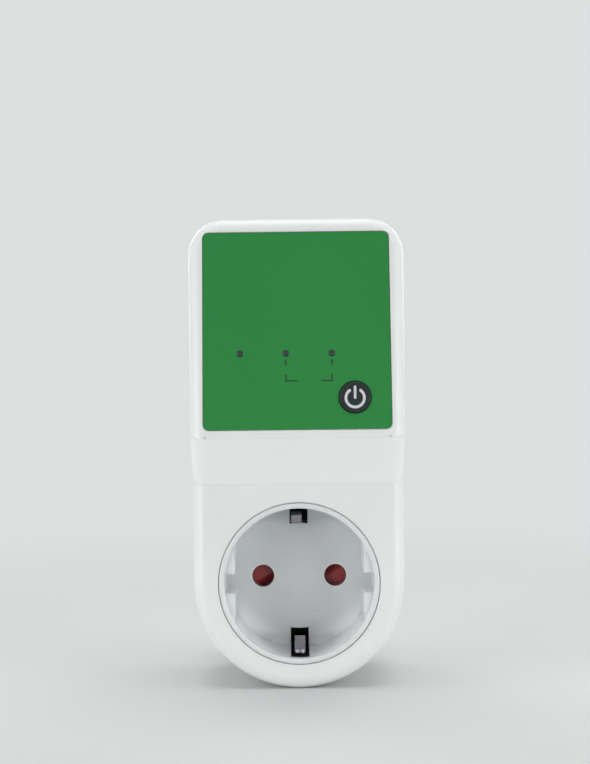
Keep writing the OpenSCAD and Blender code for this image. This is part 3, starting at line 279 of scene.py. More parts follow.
# %% [markdown]
# ## The studio
#
# White plastic needs light from all round, or one side goes grey. Large soft boxes stand at the
# left, the right and above, and the world fills what they miss. They are the stronger ones, so the
# rounded edges read brighter than the flat decks, as on the real object in a light tent. Two low
# strips in front, one to each side, light the sloped band and the socket's floor from below eye
# level, and two small boxes light them from above it. All four keep clear of the mirror direction,
# so the green panel stays deep in colour. Two boxes behind light the plug side and don't reach the
# front.
#
# A ray that comes from the camera, a gloss or a clear piece sees a plain pale backdrop.

# %% World
BACKDROP = 0.74
FILL = 0.19
SKY_WHITE = (0.985, 0.995, 1.0, 1.0)


def backdrop_strength(shader):
    """The backdrop's level for a ray from the camera, a gloss or a clear piece, else the fill."""
    ray = shader.node("ShaderNodeLightPath")
    eye = ray.out("Is Camera Ray").most(ray.out("Is Glossy Ray").most(ray.out("Is Transmission Ray")))
    return FILL + eye * (BACKDROP - FILL)


world = bpy.data.worlds.new("studio")
scene.world = world
sky = ShaderTree(world)
glow = sky.node("ShaderNodeBackground", None, {"Color": SKY_WHITE, "Strength": backdrop_strength(sky)})
sky.node("ShaderNodeOutputWorld", None, {"Surface": glow})
print("backdrop", BACKDROP, "fill", FILL)


# %% Soft boxes
def soft_box(name, place, aim, size, watts, height=None):
    """A lamp of this width, and height where it isn't square, that shines from a place to a point."""
    data = bpy.data.lights.new(name, "AREA")
    data.shape = "RECTANGLE"
    data.size = size
    data.size_y = height or size
    data.energy = watts
    lamp = bpy.data.objects.new(name, data)
    scene.collection.objects.link(lamp)
    lamp.location = place
    lamp.rotation_euler = (Vector(aim) - Vector(place)).to_track_quat("-Z", "Y").to_euler()
    return lamp


MIDDLE = (0, -0.03, 0.035)
soft_box("box_left", (-0.68, -0.16, 0.12), MIDDLE, 0.50, 1.55)
soft_box("box_right", (0.68, -0.16, 0.12), MIDDLE, 0.50, 1.55)
soft_box("box_above", (0.03, -0.05, 0.76), (0, -0.04, 0), 0.60, 3.6)
soft_box("box_low_left", (-0.45, -0.45, 0.02), MIDDLE, 0.30, 1.16, height=0.08)
soft_box("box_low_right", (0.45, -0.45, 0.02), MIDDLE, 0.30, 1.10, height=0.08)
soft_box("box_high_left", (-0.50, -0.50, 0.40), MIDDLE, 0.35, 0.32)
soft_box("box_high_right", (0.50, -0.50, 0.40), MIDDLE, 0.35, 0.32)
soft_box("box_behind_left", (-0.40, 0.62, 0.30), MIDDLE, 0.45, 1.3)
soft_box("box_behind_right", (0.40, 0.62, 0.30), MIDDLE, 0.45, 1.3)

# %% [markdown]
# ## The floor
#
# The relay stands on a plain pale floor. Near it the floor is an ordinary matt surface, which
# keeps the shadow. Further out it fades into the backdrop's own brightness, so no horizon shows.

# %% Floor finish
FADE_MIDDLE, FADE_WIDTH = 0.26, 0.34


def floor_finish():
    finish = Finish("studio_floor")
    x, y, _ = finish.axes()
    away = (x * x + y * y) ** 0.5
    far = away.above(FADE_MIDDLE, FADE_WIDTH)
    mottle = finish.noise(0.05, detail=3)
    matt = finish.node(
        "ShaderNodeBsdfDiffuse",
        None,
        {"Color": finish.mix(mottle, tone(214, 216, 216), tone(218, 220, 220))},
    )
    strength = backdrop_strength(finish)
    bright = finish.node("ShaderNodeEmission", None, {"Color": SKY_WHITE, "Strength": strength})
    both = finish.node("ShaderNodeMixShader", None, {0: far, 1: matt, 2: bright})
    finish.node("ShaderNodeOutputMaterial", None, {"Surface": both})
    return finish.material


print("the floor fades", FADE_MIDDLE, "m from the middle")


# %% Floor
FLOOR_R, FLOOR_RINGS, FLOOR_SIDES = 6.0, 12, 64
FLOOR_GAP = 0.05 * MM


def disc_mesh(name, radius, height, rings, sides):
    """A flat round sheet with its face up."""
    shape = bmesh.new()
    centre = shape.verts.new((0, 0, height))
    inner = None
    for ring in range(1, rings + 1):
        reach = radius * (ring / rings) ** 2
        outer = [
            shape.verts.new((reach * math.cos(turn), reach * math.sin(turn), height))
            for turn in (2 * math.pi * side / sides for side in range(sides))
        ]
        for side in range(sides):
            after = (side + 1) % sides
            if inner is None:
                shape.faces.new((centre, outer[side], outer[after]))
            else:
                shape.faces.new((inner[side], outer[side], outer[after], inner[after]))
        inner = outer
    mesh = bpy.data.meshes.new(name)
    shape.to_mesh(mesh)
    shape.free()
    return mesh


floor_height = CAD_BOX[0][2] - FLOOR_GAP
floor_mesh = disc_mesh("studio_floor", FLOOR_R, floor_height, FLOOR_RINGS, FLOOR_SIDES)
floor = bpy.data.objects.new("studio_floor", floor_mesh)
scene.collection.objects.link(floor)
floor.data.materials.append(floor_finish())
print("floor at", round(floor_height, 5))

# %% [markdown]
# ## Moulded plastics
#
# A moulded part isn't one flat colour. The steel mould is spark-eroded, so its surface has a fine
# grain, the melt flows and leaves faint clouds of gloss and tone, and no edge is truly sharp. A
# photograph of plastic could be laid on, but it would stretch at each corner. Noise in the piece's
# own frame doesn't, so one recipe gives all three, and each plastic piece gets its own numbers.

# %% Moulded plastic recipe
GRAIN_DEPTH, MOULD_EDGE = 0.006 * MM, 0.18 * MM


def moulded(name, colour, gloss=0.40, grain=0.00030, cloud=0.02):
    """Plastic from a mould. A lower gloss number is shinier, and grain is in metres."""
    finish = Finish(name)
    flow = finish.noise(0.016, detail=3, stretch=(1, 1, 2))
    spark = finish.noise(grain, detail=2)
    base = finish.mix(flow, shade(colour, 1 - cloud), shade(colour, 1 + cloud))
    speck = spark.above(0.62, 0.25)
    base = finish.mix(speck * 0.25, base, shade(colour, 1 - 2 * cloud))
    roughness = gloss + (flow - 0.5) * 0.10 + (spark - 0.5) * 0.14
    normal = finish.relief(spark, GRAIN_DEPTH, finish.soft_edges(MOULD_EDGE))
    return finish.skin(base, roughness, normal)


finishes = {}
finishes["shutter_red"] = moulded(
    "shutter_red_plastic", tone(160, 52, 54), gloss=0.38, grain=0.0002, cloud=0.05
)
finishes["carrier_ivory"] = moulded(
    "contact_carrier_plastic", tone(222, 212, 188), gloss=0.5, grain=0.0004, cloud=0.03
)
finishes["relay_grey"] = moulded("relay_base_plastic", tone(92, 95, 98), gloss=0.48, cloud=0.04)
finishes["relay_black"] = moulded("relay_case_plastic", tone(38, 38, 40), gloss=0.32, cloud=0.08)
finishes["bobbin_white"] = moulded("bobbin_nylon", tone(232, 228, 214), gloss=0.36, cloud=0.03)
finishes["switch_black"] = moulded("switch_housing_plastic", tone(34, 34, 36), gloss=0.42, cloud=0.08)
finishes["plunger_white"] = moulded("switch_plunger_plastic", tone(214, 210, 200), gloss=0.4, cloud=0.03)
print("moulded plastics:", len(finishes))

# %% [markdown]
# ## The white cover
#
# The cover is the largest thing in the picture, so it gets marks of its own. The sloped band comes
# from a polished insert in the mould, so it is smoother than the eroded decks, and its colour is
# lifted a shade as painted light. A tiny sink mark sits at each end of the crease above it, with a
# dark spot of painted shade in it, and a faint line of flash runs along the parting line of the two
# shells. The edge of the socket's opening is painted near white, painted light that softens the
# shade in the joint. Each mark is a mask, worked out from the place on the piece, so it needs no
# image and stays sharp. The front looks to -y, so the masks on it count forwards, along -y.

# %% Marks on the cover
SLOPE_FOOT_Z, SLOPE_HEAD_Z, SLOPE_FRONT = 25.3 * MM, 37.1 * MM, 55.2 * MM
SINK_X, SINK_Z, SINK_R, SINK_FRONT = 23.0 * MM, 37.4 * MM, 0.35 * MM, 62.0 * MM
PARTING_Y, PARTING_HALF = -29.5 * MM, 0.12 * MM
OPENING_R, OPENING_HALF, OPENING_BACK, OPENING_FRONT = 22.0 * MM, 0.3 * MM, 50.0 * MM, 55.4 * MM
print("sloped band:", round((SLOPE_HEAD_Z - SLOPE_FOOT_Z) / MM, 1), "mm high")


# %% Cover plastic
def cover_plastic():
    finish = Finish("cover_white_plastic")
    colour = tone(228, 230, 229)
    flow = finish.noise(0.022, detail=3, stretch=(1, 1, 2))
    spark = finish.noise(0.00028, detail=2)
    x, y, z = finish.axes()
    front = -y
    base = finish.mix(flow, shade(colour, 0.985), shade(colour, 1.015))
    band = z.above(SLOPE_FOOT_Z, 0.0004) * z.below(SLOPE_HEAD_Z, 0.0004)
    band = band * front.above(SLOPE_FRONT, 0.0004)
    # painted light: the sloped band's colour is lifted a shade
    base = finish.mix(band, base, shade(colour, 1.10))
    side = abs(x) - SINK_X
    drop = z - SINK_Z
    near = (side * side + drop * drop) ** 0.5
    dimple = near.below(SINK_R, 0.0004) * front.above(SINK_FRONT, 0.002)
    # painted shade: a dark spot in each sink mark, whose dent is in the bump
    base = finish.mix(dimple * 0.32, base, tone(120, 124, 126))
    seam = abs(y - PARTING_Y).below(PARTING_HALF, 0.00016)
    base = finish.mix(seam * 0.35, base, tone(150, 152, 150))
    from_lip = abs((x * x + z * z) ** 0.5 - OPENING_R)
    # painted light: the edge of the opening is painted near white, to soften the shade in the joint
    lip_painted_light = from_lip.below(OPENING_HALF, 0.0001) * front.above(OPENING_BACK, 0.0004)
    base = finish.mix(lip_painted_light * front.below(OPENING_FRONT, 0.0002), base, tone(253, 254, 254))
    roughness = 0.37 - band * 0.05 + (flow - 0.5) * 0.10 + (spark - 0.5) * 0.12
    grain = spark * (1.0 - band * 0.5) + dimple * -3.0
    normal = finish.relief(grain, 0.000004, finish.soft_edges(0.00030))
    milky = {"Subsurface_Weight": 0.3, "Subsurface_Scale": 0.0015, "Subsurface_Radius": (1.0, 1.0, 1.0)}
    return finish.skin(base, roughness, normal, IOR=1.48, **milky)


finishes["housing_white"] = cover_plastic()
print("cover:", finishes["housing_white"].name)

# %% [markdown]
# ## The socket insert
#
# The insert is a greyer, slightly milky plastic. The two slots for the earth clips are deep and
# narrow, and behind them is the dark inside of the housing, so their walls are painted dark here
# by the place on the piece, as painted shade. The mouth of each pin hole is painted as a dark ring
# and its bore dark red-grey, both painted shade, with a pale ring round the mouth as a painted
# highlight, and the plug leaves a few scuffs on the floor. The ledge of each side notch gets a fine
# pale line, a painted highlight. The insert's outer wall is painted near white like the cover's
# opening, painted light that makes the joint between them a soft grey line. Low in the recess the
# colour is lifted towards white, painted light that softens the shade there.
#
# All of these are masks again. Their places come first, with a name each.

# %% Places on the insert
RECESS_LIGHT_R, RECESS_LIGHT_Z, RECESS_LIGHT_Y, RECESS_LIGHT_HALF_X = 16.2 * MM, -9.0 * MM, -53.8 * MM, 16.0 * MM
SLOT_HALF_X, SLOT_R, SLOT_Y = 2.36 * MM, 13.85 * MM, -53.1 * MM
PIN_X = 9.5 * MM
HOLE_HIGHLIGHT_R, HOLE_HIGHLIGHT_Y = 3.18 * MM, -37.8 * MM
MOUTH_R, MOUTH_Y = 2.90 * MM, -37.0 * MM
BORE_R, BORE_Y = 2.76 * MM, -38.0 * MM
LEDGE_Z, LEDGE_IN_X, LEDGE_OUT_X, LEDGE_HALF = -2.5 * MM, 16.6 * MM, 19.3 * MM, 0.04 * MM
FLANGE_R, FLANGE_BACK_Y, FLANGE_FRONT_Y = 21.84 * MM, -50.0 * MM, -55.5 * MM
print("pin holes:", 2 * PIN_X / MM, "mm apart")


# %% Insert plastic
def insert_plastic():
    finish = Finish("socket_insert_plastic")
    colour = tone(219, 222, 223)
    flow = finish.noise(0.014, detail=3)
    spark = finish.noise(0.00022, detail=2)
    x, y, z = finish.axes()
    base = finish.mix(flow, shade(colour, 0.985), shade(colour, 1.015))
    away = (x * x + z * z) ** 0.5
    # painted light: the lower recess, near the wall, is lifted towards white
    recess_painted_light = away.above(RECESS_LIGHT_R, 0.0056) * z.below(RECESS_LIGHT_Z, 0.0100) * y.above(RECESS_LIGHT_Y, 0.001)
    base = finish.mix(recess_painted_light * abs(x).below(RECESS_LIGHT_HALF_X, 0.002), base, tone(251, 253, 253))
    # painted shade: the walls of the earth slots are painted near black
    slot = abs(x).below(SLOT_HALF_X, 0.00008) * away.above(SLOT_R, 0.0001) * y.above(SLOT_Y, 0.0002)
    base = finish.mix(slot, base, tone(34, 36, 40))
    off = abs(x) - PIN_X
    hole = (off * off + z * z) ** 0.5
    # painted highlight: a pale ring round the mouth of each pin hole
    hole_highlight = hole.below(HOLE_HIGHLIGHT_R, 0.0002) * y.below(HOLE_HIGHLIGHT_Y, 0.0001)
    base = finish.mix(hole_highlight * 0.6, base, tone(244, 244, 242))
    # painted shade: a dark ring at the mouth of each pin hole
    mouth_shade = hole.below(MOUTH_R, 0.00008) * y.below(MOUTH_Y, 0.0001)
    base = finish.mix(mouth_shade * 0.92, base, tone(38, 30, 36))
    # painted shade: the bore wall of each pin hole is painted dark
    bore_shade = hole.below(BORE_R, 0.00004) * y.above(BORE_Y, 0.0002)
    base = finish.mix(bore_shade * 0.8, base, tone(60, 40, 44))
    # painted highlight: a fine pale line on the ledge of each side notch
    ledge_highlight = abs(z - LEDGE_Z).below(LEDGE_HALF, 0.00004) * abs(x).above(LEDGE_IN_X, 0.0002)
    base = finish.mix(ledge_highlight * abs(x).below(LEDGE_OUT_X, 0.0001), base, tone(250, 251, 251))
    # painted light: the insert's outer wall is painted near white, to soften the shade in the joint
    flange_painted_light = away.above(FLANGE_R, 0.00004) * y.below(FLANGE_BACK_Y, 0.0004)
    base = finish.mix(flange_painted_light * y.above(FLANGE_FRONT_Y, 0.0002), base, tone(253, 254, 254))
    scratch = finish.noise(0.0009, detail=3, stretch=(6, 1, 0.6))
    scuff = scratch.above(0.70, 0.06) * finish.noise(0.006, detail=1).above(0.56, 0.1) * (1.0 - slot)
    base = finish.mix(scuff * 0.25, base, tone(168, 170, 172))
    roughness = 0.34 + (flow - 0.5) * 0.08 + (spark - 0.5) * 0.10 + scuff * 0.12
    normal = finish.relief(spark, 0.000003, finish.soft_edges(0.00022))
    milky = {"Subsurface_Weight": 0.5, "Subsurface_Scale": 0.004, "Subsurface_Radius": (1.0, 1.0, 1.0)}
    return finish.skin(base, roughness, normal, IOR=1.48, **milky)


finishes["insert_white"] = insert_plastic()
print("insert:", finishes["insert_white"].name)

# %% [markdown]
# ## The green panel, the windows and the button
#
# The panel is a printed film with a thin clear coat. The print is very even, with a light orange
# peel in the coat. A second sheet could stand for the coat, but the shader's own coat layer does it
# with one surface. The windows are smoky lenses with a paler spot in the middle, where the
# indicator behind shows through: one pattern, repeated at their spacing, serves all three. The
# button is charcoal plastic with a coarser, soft-touch grain.

# %% Panel film
def panel_film():
    finish = Finish("panel_green_film")
    colour = tone(34, 128, 58)
    wash = finish.noise(0.030, detail=2, stretch=(1, 1, 1.6))
    peel = finish.noise(0.0011, detail=2)
    dots = finish.noise(0.00018, detail=1)
    base = finish.mix(wash, shade(colour, 0.93), shade(colour, 1.07))
    base = finish.mix(dots.above(0.60, 0.3) * 0.18, base, tone(62, 140, 74))
    roughness = 0.30 + (wash - 0.5) * 0.08 + (dots - 0.5) * 0.10
    normal = finish.relief(peel * 0.7 + dots * 0.3, 0.000004, finish.soft_edges(0.00010))
    coat = {"Coat_Weight": 0.12, "Coat_Roughness": 0.15, "Specular_IOR_Level": 0.3}
    return finish.skin(base, roughness, normal, **coat)


finishes["overlay_green"] = panel_film()
print("panel:", finishes["overlay_green"].name)

# %% Smoky windows
INDICATOR_X = -0.0027
INDICATOR_PITCH = 0.01135
INDICATOR_Z = 0.0581
WINDOW_R = 0.0008


def smoky_window(name):
    finish = Finish(name)
    x, _, z = finish.axes()
    half = INDICATOR_PITCH / 2
    across = (x - INDICATOR_X).math("WRAP", x - INDICATOR_X, half, -half)
    away = (across * across + (z - INDICATOR_Z) ** 2.0) ** 0.5
    ring = away.above(WINDOW_R * 0.55, WINDOW_R * 0.5)
    swirl = finish.noise(0.0005, detail=2)
    base = finish.mix(ring, tone(42, 58, 54), tone(24, 48, 38))
    base = finish.mix(swirl * 0.25, base, tone(28, 46, 40))
    return finish.skin(base, 0.18 + swirl * 0.08, finish.relief(swirl, 0.000002), Coat_Weight=0.15, IOR=1.45)


finishes["window_smoke"] = smoky_window("window_smoke_lens")
print("windows:", round(INDICATOR_PITCH / MM, 2), "mm apart")


# %% Button plastic
def button_plastic():
    finish = Finish("button_charcoal_plastic")
    colour = tone(25, 36, 34)
    pores = finish.noise(0.00030, detail=3)
    flow = finish.noise(0.004, detail=2)
    soft = finish.soft_edges(0.00015)
    base = finish.mix(pores.above(0.5, 0.14), shade(colour, 0.55), shade(colour, 1.6))
    # edges lighter: wear and a painted highlight
    base = finish.mix(finish.edge_wear_and_highlight(soft) * 0.5, base, tone(70, 74, 76))
    roughness = 0.5 + (pores - 0.5) * 0.2 + (flow - 0.5) * 0.06
    return finish.skin(base, roughness, finish.relief(pores, 0.000010, soft), Specular_IOR_Level=0.3)


finishes["button_charcoal"] = button_plastic()
print("button:", finishes["button_charcoal"].name)

# %% [markdown]
# ## Metals
#
# Each metal piece shows how it was made. Strip is rolled, so it has fine lines along its length,
# and a turned pin has rings round its axis. Nickel plate is bright with soft stains, brass is
# warmer and darkens a little in the open, and screws have zinc plate with a faint blue-yellow
# cloud. The lines are the same noise stretched along one axis. Edges are lighter, as wear and as a
# painted highlight. The earth strap at its root and behind the rim, and a pin inside the housing,
# lie in shade, so the plate is painted almost black there as painted shade, and is rougher: a
# recipe can be given a mask that says where.

# %% Metal recipe
LINE_SIZE, LINE_DEPTH, METAL_EDGE = 0.06 * MM, 0.002 * MM, 0.10 * MM


def metal(name, colour, gloss, lines, stain=None, painted_shade=None):
    """Bare or plated metal with fine lines along an axis, edges lighter as wear and a painted highlight, and
    painted shade where a mask says so.
    """
    finish = Finish(name)
    streak = finish.noise(LINE_SIZE, detail=2, stretch=lines)
    cloud = finish.noise(0.0030, detail=3)
    soft = finish.soft_edges(METAL_EDGE)
    base = finish.mix(streak, shade(colour, 0.90), shade(colour, 1.06))
    if stain is not None:
        base = finish.mix(cloud.above(0.55, 0.3) * 0.35, base, stain)
    # edges lighter: wear and a painted highlight
    base = finish.mix(finish.edge_wear_and_highlight(soft) * 0.4, base, shade(colour, 1.25))
    roughness = gloss + (streak - 0.5) * 0.14 + (cloud - 0.5) * 0.10
    # painted shade: nearly black and rougher where the mask says so
    if painted_shade is not None:
        mask = painted_shade(finish)
        base = finish.mix(mask, base, shade(colour, 0.06))
        roughness = roughness + mask * 0.25
    return finish.skin(base, roughness, finish.relief(streak, LINE_DEPTH, soft), Metallic=1.0)


print("lines of", round(LINE_SIZE / MM, 2), "mm on bare metal")

# %% Earth strap and plug pins
STRAP_ROOT_Y, BEHIND_RIM_R = -40.0 * MM, 17.1 * MM
PIN_TAIL_Y = -6.0 * MM


def strap_painted_shade(finish):
    """Painted shade on the strap where it lies deep in the housing: at its root and behind the rim."""
    x, y, z = finish.axes()
    away = (x * x + z * z) ** 0.5
    root = y.above(STRAP_ROOT_Y, 0.0012)
    behind = away.above(BEHIND_RIM_R, 0.0003)
    return root.most(behind * z.above(0.0, 0.001)) * 0.98


def pin_tail_shade(finish):
    """Painted shade on a plug pin where it lies inside the housing."""
    _, y, _ = finish.axes()
    return (-y).above(-PIN_TAIL_Y, 0.0010) * 0.88


finishes["earth_nickel"] = metal(
    "earth_clip_nickel",
    tone(168, 164, 174),
    gloss=0.34,
    lines=(1, 30, 30),
    stain=tone(150, 146, 152),
    painted_shade=strap_painted_shade,
)
finishes["pin_nickel"] = metal(
    "plug_pin_nickel",
    tone(202, 200, 192),
    gloss=0.20,
    lines=(40, 1, 40),
    stain=tone(170, 164, 150),
    painted_shade=pin_tail_shade,
)
print("nickel plate:", [finishes[k].name for k in ("earth_nickel", "pin_nickel")])

# %% Brass, zinc plate, spring steel and iron
finishes["contact_brass"] = metal(
    "contact_brass", tone(206, 170, 96), gloss=0.30, lines=(1, 30, 30), stain=tone(150, 104, 52)
)
finishes["screw_steel"] = metal(
    "screw_zinc_plate", tone(188, 190, 186), gloss=0.30, lines=(8, 1, 8), stain=tone(176, 172, 130)
)
finishes["spring_steel"] = metal("spring_steel_wire", tone(150, 152, 156), gloss=0.26, lines=(20, 1, 20))
finishes["iron"] = metal(
    "relay_soft_iron", tone(170, 168, 162), gloss=0.40, lines=(1, 20, 20), stain=tone(132, 120, 104)
)
print("other metals:", [finishes[k].name for k in ("contact_brass", "screw_steel", "spring_steel", "iron")])

# %% [markdown]
# ## Insulation, copper and the board
#
# Lead insulation is extruded, so it has no mould grain but a faint waviness and a soft sheen. The
# winding is copper under clear enamel. The board is glass fibre under green mask, which is paler
# over copper: fine tracks in some places, and in others a wide poured area with gaps in it. A
# brick pattern has the right angles and even spacing of such tracks, and a cloud of noise, cut
# hard, says where it is turned round. The cut edges are straw yellow.

# %% Insulation and enamelled copper
def insulation(name, colour):
    finish = Finish(name)
    wave = finish.noise(0.0025, detail=2)
    fine = finish.noise(0.0003, detail=1)
    base = finish.mix(wave, shade(colour, 0.9), shade(colour, 1.1))
    return finish.skin(base, 0.38 + (wave - 0.5) * 0.12, finish.relief(wave * 0.8 + fine * 0.2, 0.00002))


def enamelled_copper(name):
    finish = Finish(name)
    along = finish.noise(0.0012, detail=2, stretch=(3, 0.4, 3))
    base = finish.mix(along, tone(168, 88, 40), tone(206, 122, 62))
    return finish.skin(
        base, 0.30 + (along - 0.5) * 0.12, finish.relief(along, 0.000004), Metallic=0.85, Coat_Weight=0.6
    )


def bare_copper(name):
    finish = Finish(name)
    strand = finish.noise(0.00025, detail=2, stretch=(1, 8, 1))
    base = finish.mix(strand, tone(150, 84, 52), tone(224, 150, 108))
    return finish.skin(base, 0.34 + (strand - 0.5) * 0.2, finish.relief(strand, 0.00003), Metallic=1.0)


finishes["lead_brown"] = insulation("lead_brown_insulation", tone(112, 66, 38))
finishes["lead_blue"] = insulation("lead_blue_insulation", tone(44, 92, 168))
finishes["winding_copper"] = enamelled_copper("winding_enamelled_copper")
strand_copper = bare_copper("lead_copper_strands")
print("insulation and copper ready")


# %% Circuit board
BOARD_Y, BOARD_HALF = -53.0 * MM, 0.76 * MM
POUR_SIZE = 7.0 * MM


def board_laminate():
    finish = Finish("circuit_board_laminate")
    x, y, z = finish.axes()
    flat = abs(y - BOARD_Y).above(BOARD_HALF, 0.00004)
    spot = finish.node("ShaderNodeCombineXYZ", None, {0: x * 1000.0, 1: z * 1000.0, 2: 0.0})
    tracks = finish.node(
        "ShaderNodeTexBrick",
        {"offset": 0.37, "squash": 1.6, "squash_frequency": 3},
        {
            "Vector": spot,
            "Scale": 0.35,
            "Mortar Size": 0.05,
            "Mortar Smooth": 0.25,
            "Brick Width": 1.3,
            "Row Height": 0.5,
        },
        output=1,
    )
    poured = finish.noise(POUR_SIZE, detail=1).above(0.50, 0.01)
    tracks = tracks * (1.0 - poured) + (1.0 - tracks) * poured
    weave = finish.noise(0.0006, detail=1)
    mask = finish.mix(tracks, tone(18, 78, 46), tone(46, 116, 68))
    mask = finish.mix(weave * 0.2, mask, tone(14, 60, 38))
    core = finish.mix(weave, tone(176, 164, 112), tone(204, 192, 142))
    base = finish.mix(flat, core, mask)
    height = tracks * 0.6 + weave * 0.2
    return finish.skin(base, 0.62 - flat * 0.34, finish.relief(height, 0.00003), IOR=1.5)


finishes["board_green"] = board_laminate()
print("board:", finishes["board_green"].name)

# %% [markdown]
# ## The small electronic parts
#
# A part's colour says what it is. A can has a printed sleeve with a stripe at its negative side
# and a scored aluminium top. A disc is dipped, so its skin is lumpy and glossy. A film part sits
# in a box that is filled with resin from below. The can's and the film box's materials each know
# where their own piece stands, from the frame's boxes.

# %% Dipped parts
def dipped(name, colour):
    finish = Finish(name)
    lumps = finish.noise(0.0022, detail=3)
    fine = finish.noise(0.0004, detail=2)
    base = finish.mix(lumps, shade(colour, 0.85), shade(colour, 1.15))
    return finish.skin(base, 0.25 + (fine - 0.5) * 0.1, finish.relief(lumps * 0.8 + fine * 0.2, 0.00012))


finishes["varistor_blue"] = dipped("varistor_blue_dip", tone(40, 84, 158))
finishes["resistor_grey"] = dipped("resistor_grey_cement", tone(128, 132, 130))
print("dipped:", [finishes[k].name for k in ("varistor_blue", "resistor_grey")])

# %% Film part in its box
RESIN_DEPTH = 1.4 * MM


def potted_box(name, colour, resin, fill_y):
    finish = Finish(name)
    _, y, _ = finish.axes()
    fine = finish.noise(0.0005, detail=2)
    base = finish.mix(fine, shade(colour, 0.94), shade(colour, 1.04))
    base = finish.mix(y.below(fill_y, 0.0002), base, resin)
    normal = finish.relief(fine, 0.00001, finish.soft_edges(0.0002))
    return finish.skin(base, 0.32 + (fine - 0.5) * 0.1, normal)


film_low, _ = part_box("film_capacitor")
finishes["film_yellow"] = potted_box(
    "film_box_yellow", tone(220, 178, 60), tone(196, 186, 152), film_low.y + RESIN_DEPTH
)
print("film box:", finishes["film_yellow"].name)

# %% Can with a sleeve
CAN_CRIMP = 0.6 * MM


def sleeved_can(name, colour, stripe, middle, radius, top_y):
    """A sleeve along y, a stripe on its -x side and a bare top with a scored cross."""
    finish = Finish(name)
    x, y, z = finish.axes()
    dx, dz = x - middle[0], z - middle[1]
    away = (dx * dx + dz * dz) ** 0.5
    top = away.below(radius * 0.84, radius * 0.04) * y.above(top_y - CAN_CRIMP, 0.0002)
    fine = finish.noise(0.0006, detail=2)
    sleeve = finish.mix(fine, shade(colour, 0.92), shade(colour, 1.08))
    band = abs(dz).below(radius * 0.35, radius * 0.04) * dx.below(0.0, 0.0001)
    sleeve = finish.mix(band, sleeve, stripe)
    score = (abs(dx).least(abs(dz))).above(0.00018, 0.0001)
    bare = finish.mix(score, tone(120, 122, 124), tone(206, 208, 210))
    base = finish.mix(top, sleeve, bare)
    return finish.skin(
        base, 0.34 - top * 0.06 + (fine - 0.5) * 0.1, finish.relief(score, 0.00006), Metallic=top * 0.9
    )


can_low, can_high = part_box("smoothing_capacitor")
can_middle = ((can_low.x + can_high.x) / 2, (can_low.z + can_high.z) / 2)
can_radius = (can_high.x - can_low.x) / 2
finishes["can_blue"] = sleeved_can(
    "can_sleeve_blue", tone(34, 62, 120), tone(196, 202, 214), can_middle, can_radius, can_high.y
)
print("can:", round(2 * can_radius / MM, 1), "mm across")

# %% Chips and indicators
LENS_CAP_Y = -54.5 * MM


def black_epoxy(name, colour):
    """Black epoxy with a fine matt grain."""
    finish = Finish(name)
    grit = finish.noise(0.00016, detail=2)
    soft = finish.soft_edges(0.00012)
    base = finish.mix(grit, shade(colour, 0.8), shade(colour, 1.3))
    # edges lighter: wear and a painted highlight
    base = finish.mix(finish.edge_wear_and_highlight(soft) * 0.3, base, tone(84, 84, 86))
    return finish.skin(base, 0.58 + (grit - 0.5) * 0.16, finish.relief(grit, 0.000012, soft))


def clear_lens(name):
    finish = Finish(name)
    cloud = finish.noise(0.0006, detail=2)
    _, y, _ = finish.axes()
    cap = y.below(LENS_CAP_Y, 0.0002)
    base = finish.mix(cap, tone(206, 204, 196), tone(228, 222, 176))
    base = finish.mix(cloud * 0.2, base, tone(190, 186, 160))
    return finish.skin(base, 0.24 + cloud * 0.1, finish.relief(cloud, 0.000004), IOR=1.5)


finishes["chip_black"] = black_epoxy("chip_black_epoxy", tone(32, 32, 34))
finishes["led_lens"] = clear_lens("indicator_clear_lens")
print("finishes:", len(finishes))

# %% [markdown]
# ## Dress the solids
#
# Every solid came in with one material slot that is named as in the record. Its finish is put in
# that slot, so the mesh itself isn't touched.

# %% Give each solid its finish
dressed = {}
for node_name, solid in sorted(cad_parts.items()):
    for slot in solid.material_slots:
        slot_name = slot.material.name.split(".")[0]
        slot.material = finishes[slot_name]
        dressed.setdefault(slot_name, []).append(node_name)
for slot_name, names in sorted(dressed.items()):
    print(f"{slot_name}: {', '.join(names)}")
print("finishes without a solid:", sorted(set(finishes) - set(dressed)))

# %% [markdown]
# ## Printed marks
#
# Ink on a panel is a film of a few hundredths of a millimetre. It could be painted in the panel's
# material, but as a mesh it keeps crisp edges at any size. A stroke is a path on the panel, made
# wide to both sides, then given a back and a rim so that it is a closed solid.
#
# Every shape of this lesson ends in the same way: its faces are turned outwards, and its open
# edges are counted. A closed solid has none.

# %% From a working mesh to a piece
def solid_mesh(name, shape):
    """A working mesh as a plain one with its faces outwards."""
    bmesh.ops.recalc_face_normals(shape, faces=shape.faces)
    mesh = bpy.data.meshes.new(name)
    shape.to_mesh(mesh)
    open_edges = sum(1 for edge in shape.edges if not edge.is_manifold)
    volume = shape.calc_volume() / MM**3
    print(f"{name}: {len(mesh.polygons)} faces, {open_edges} open edges, {volume:.3f} mm3")
    shape.free()
    return mesh


def add_piece(name, mesh, material, body):
    """A finished mesh as a piece of the relay."""
    mesh.materials.clear()
    mesh.materials.append(material)
    piece = bpy.data.objects.new(name, mesh)
    scene.collection.objects.link(piece)
    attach(piece, body)
    return piece


print("mesh helpers ready")

# %% A stroke of ink
END_STEPS = 8
INK_RISE, INK_SINK = 0.02 * MM, 0.05 * MM


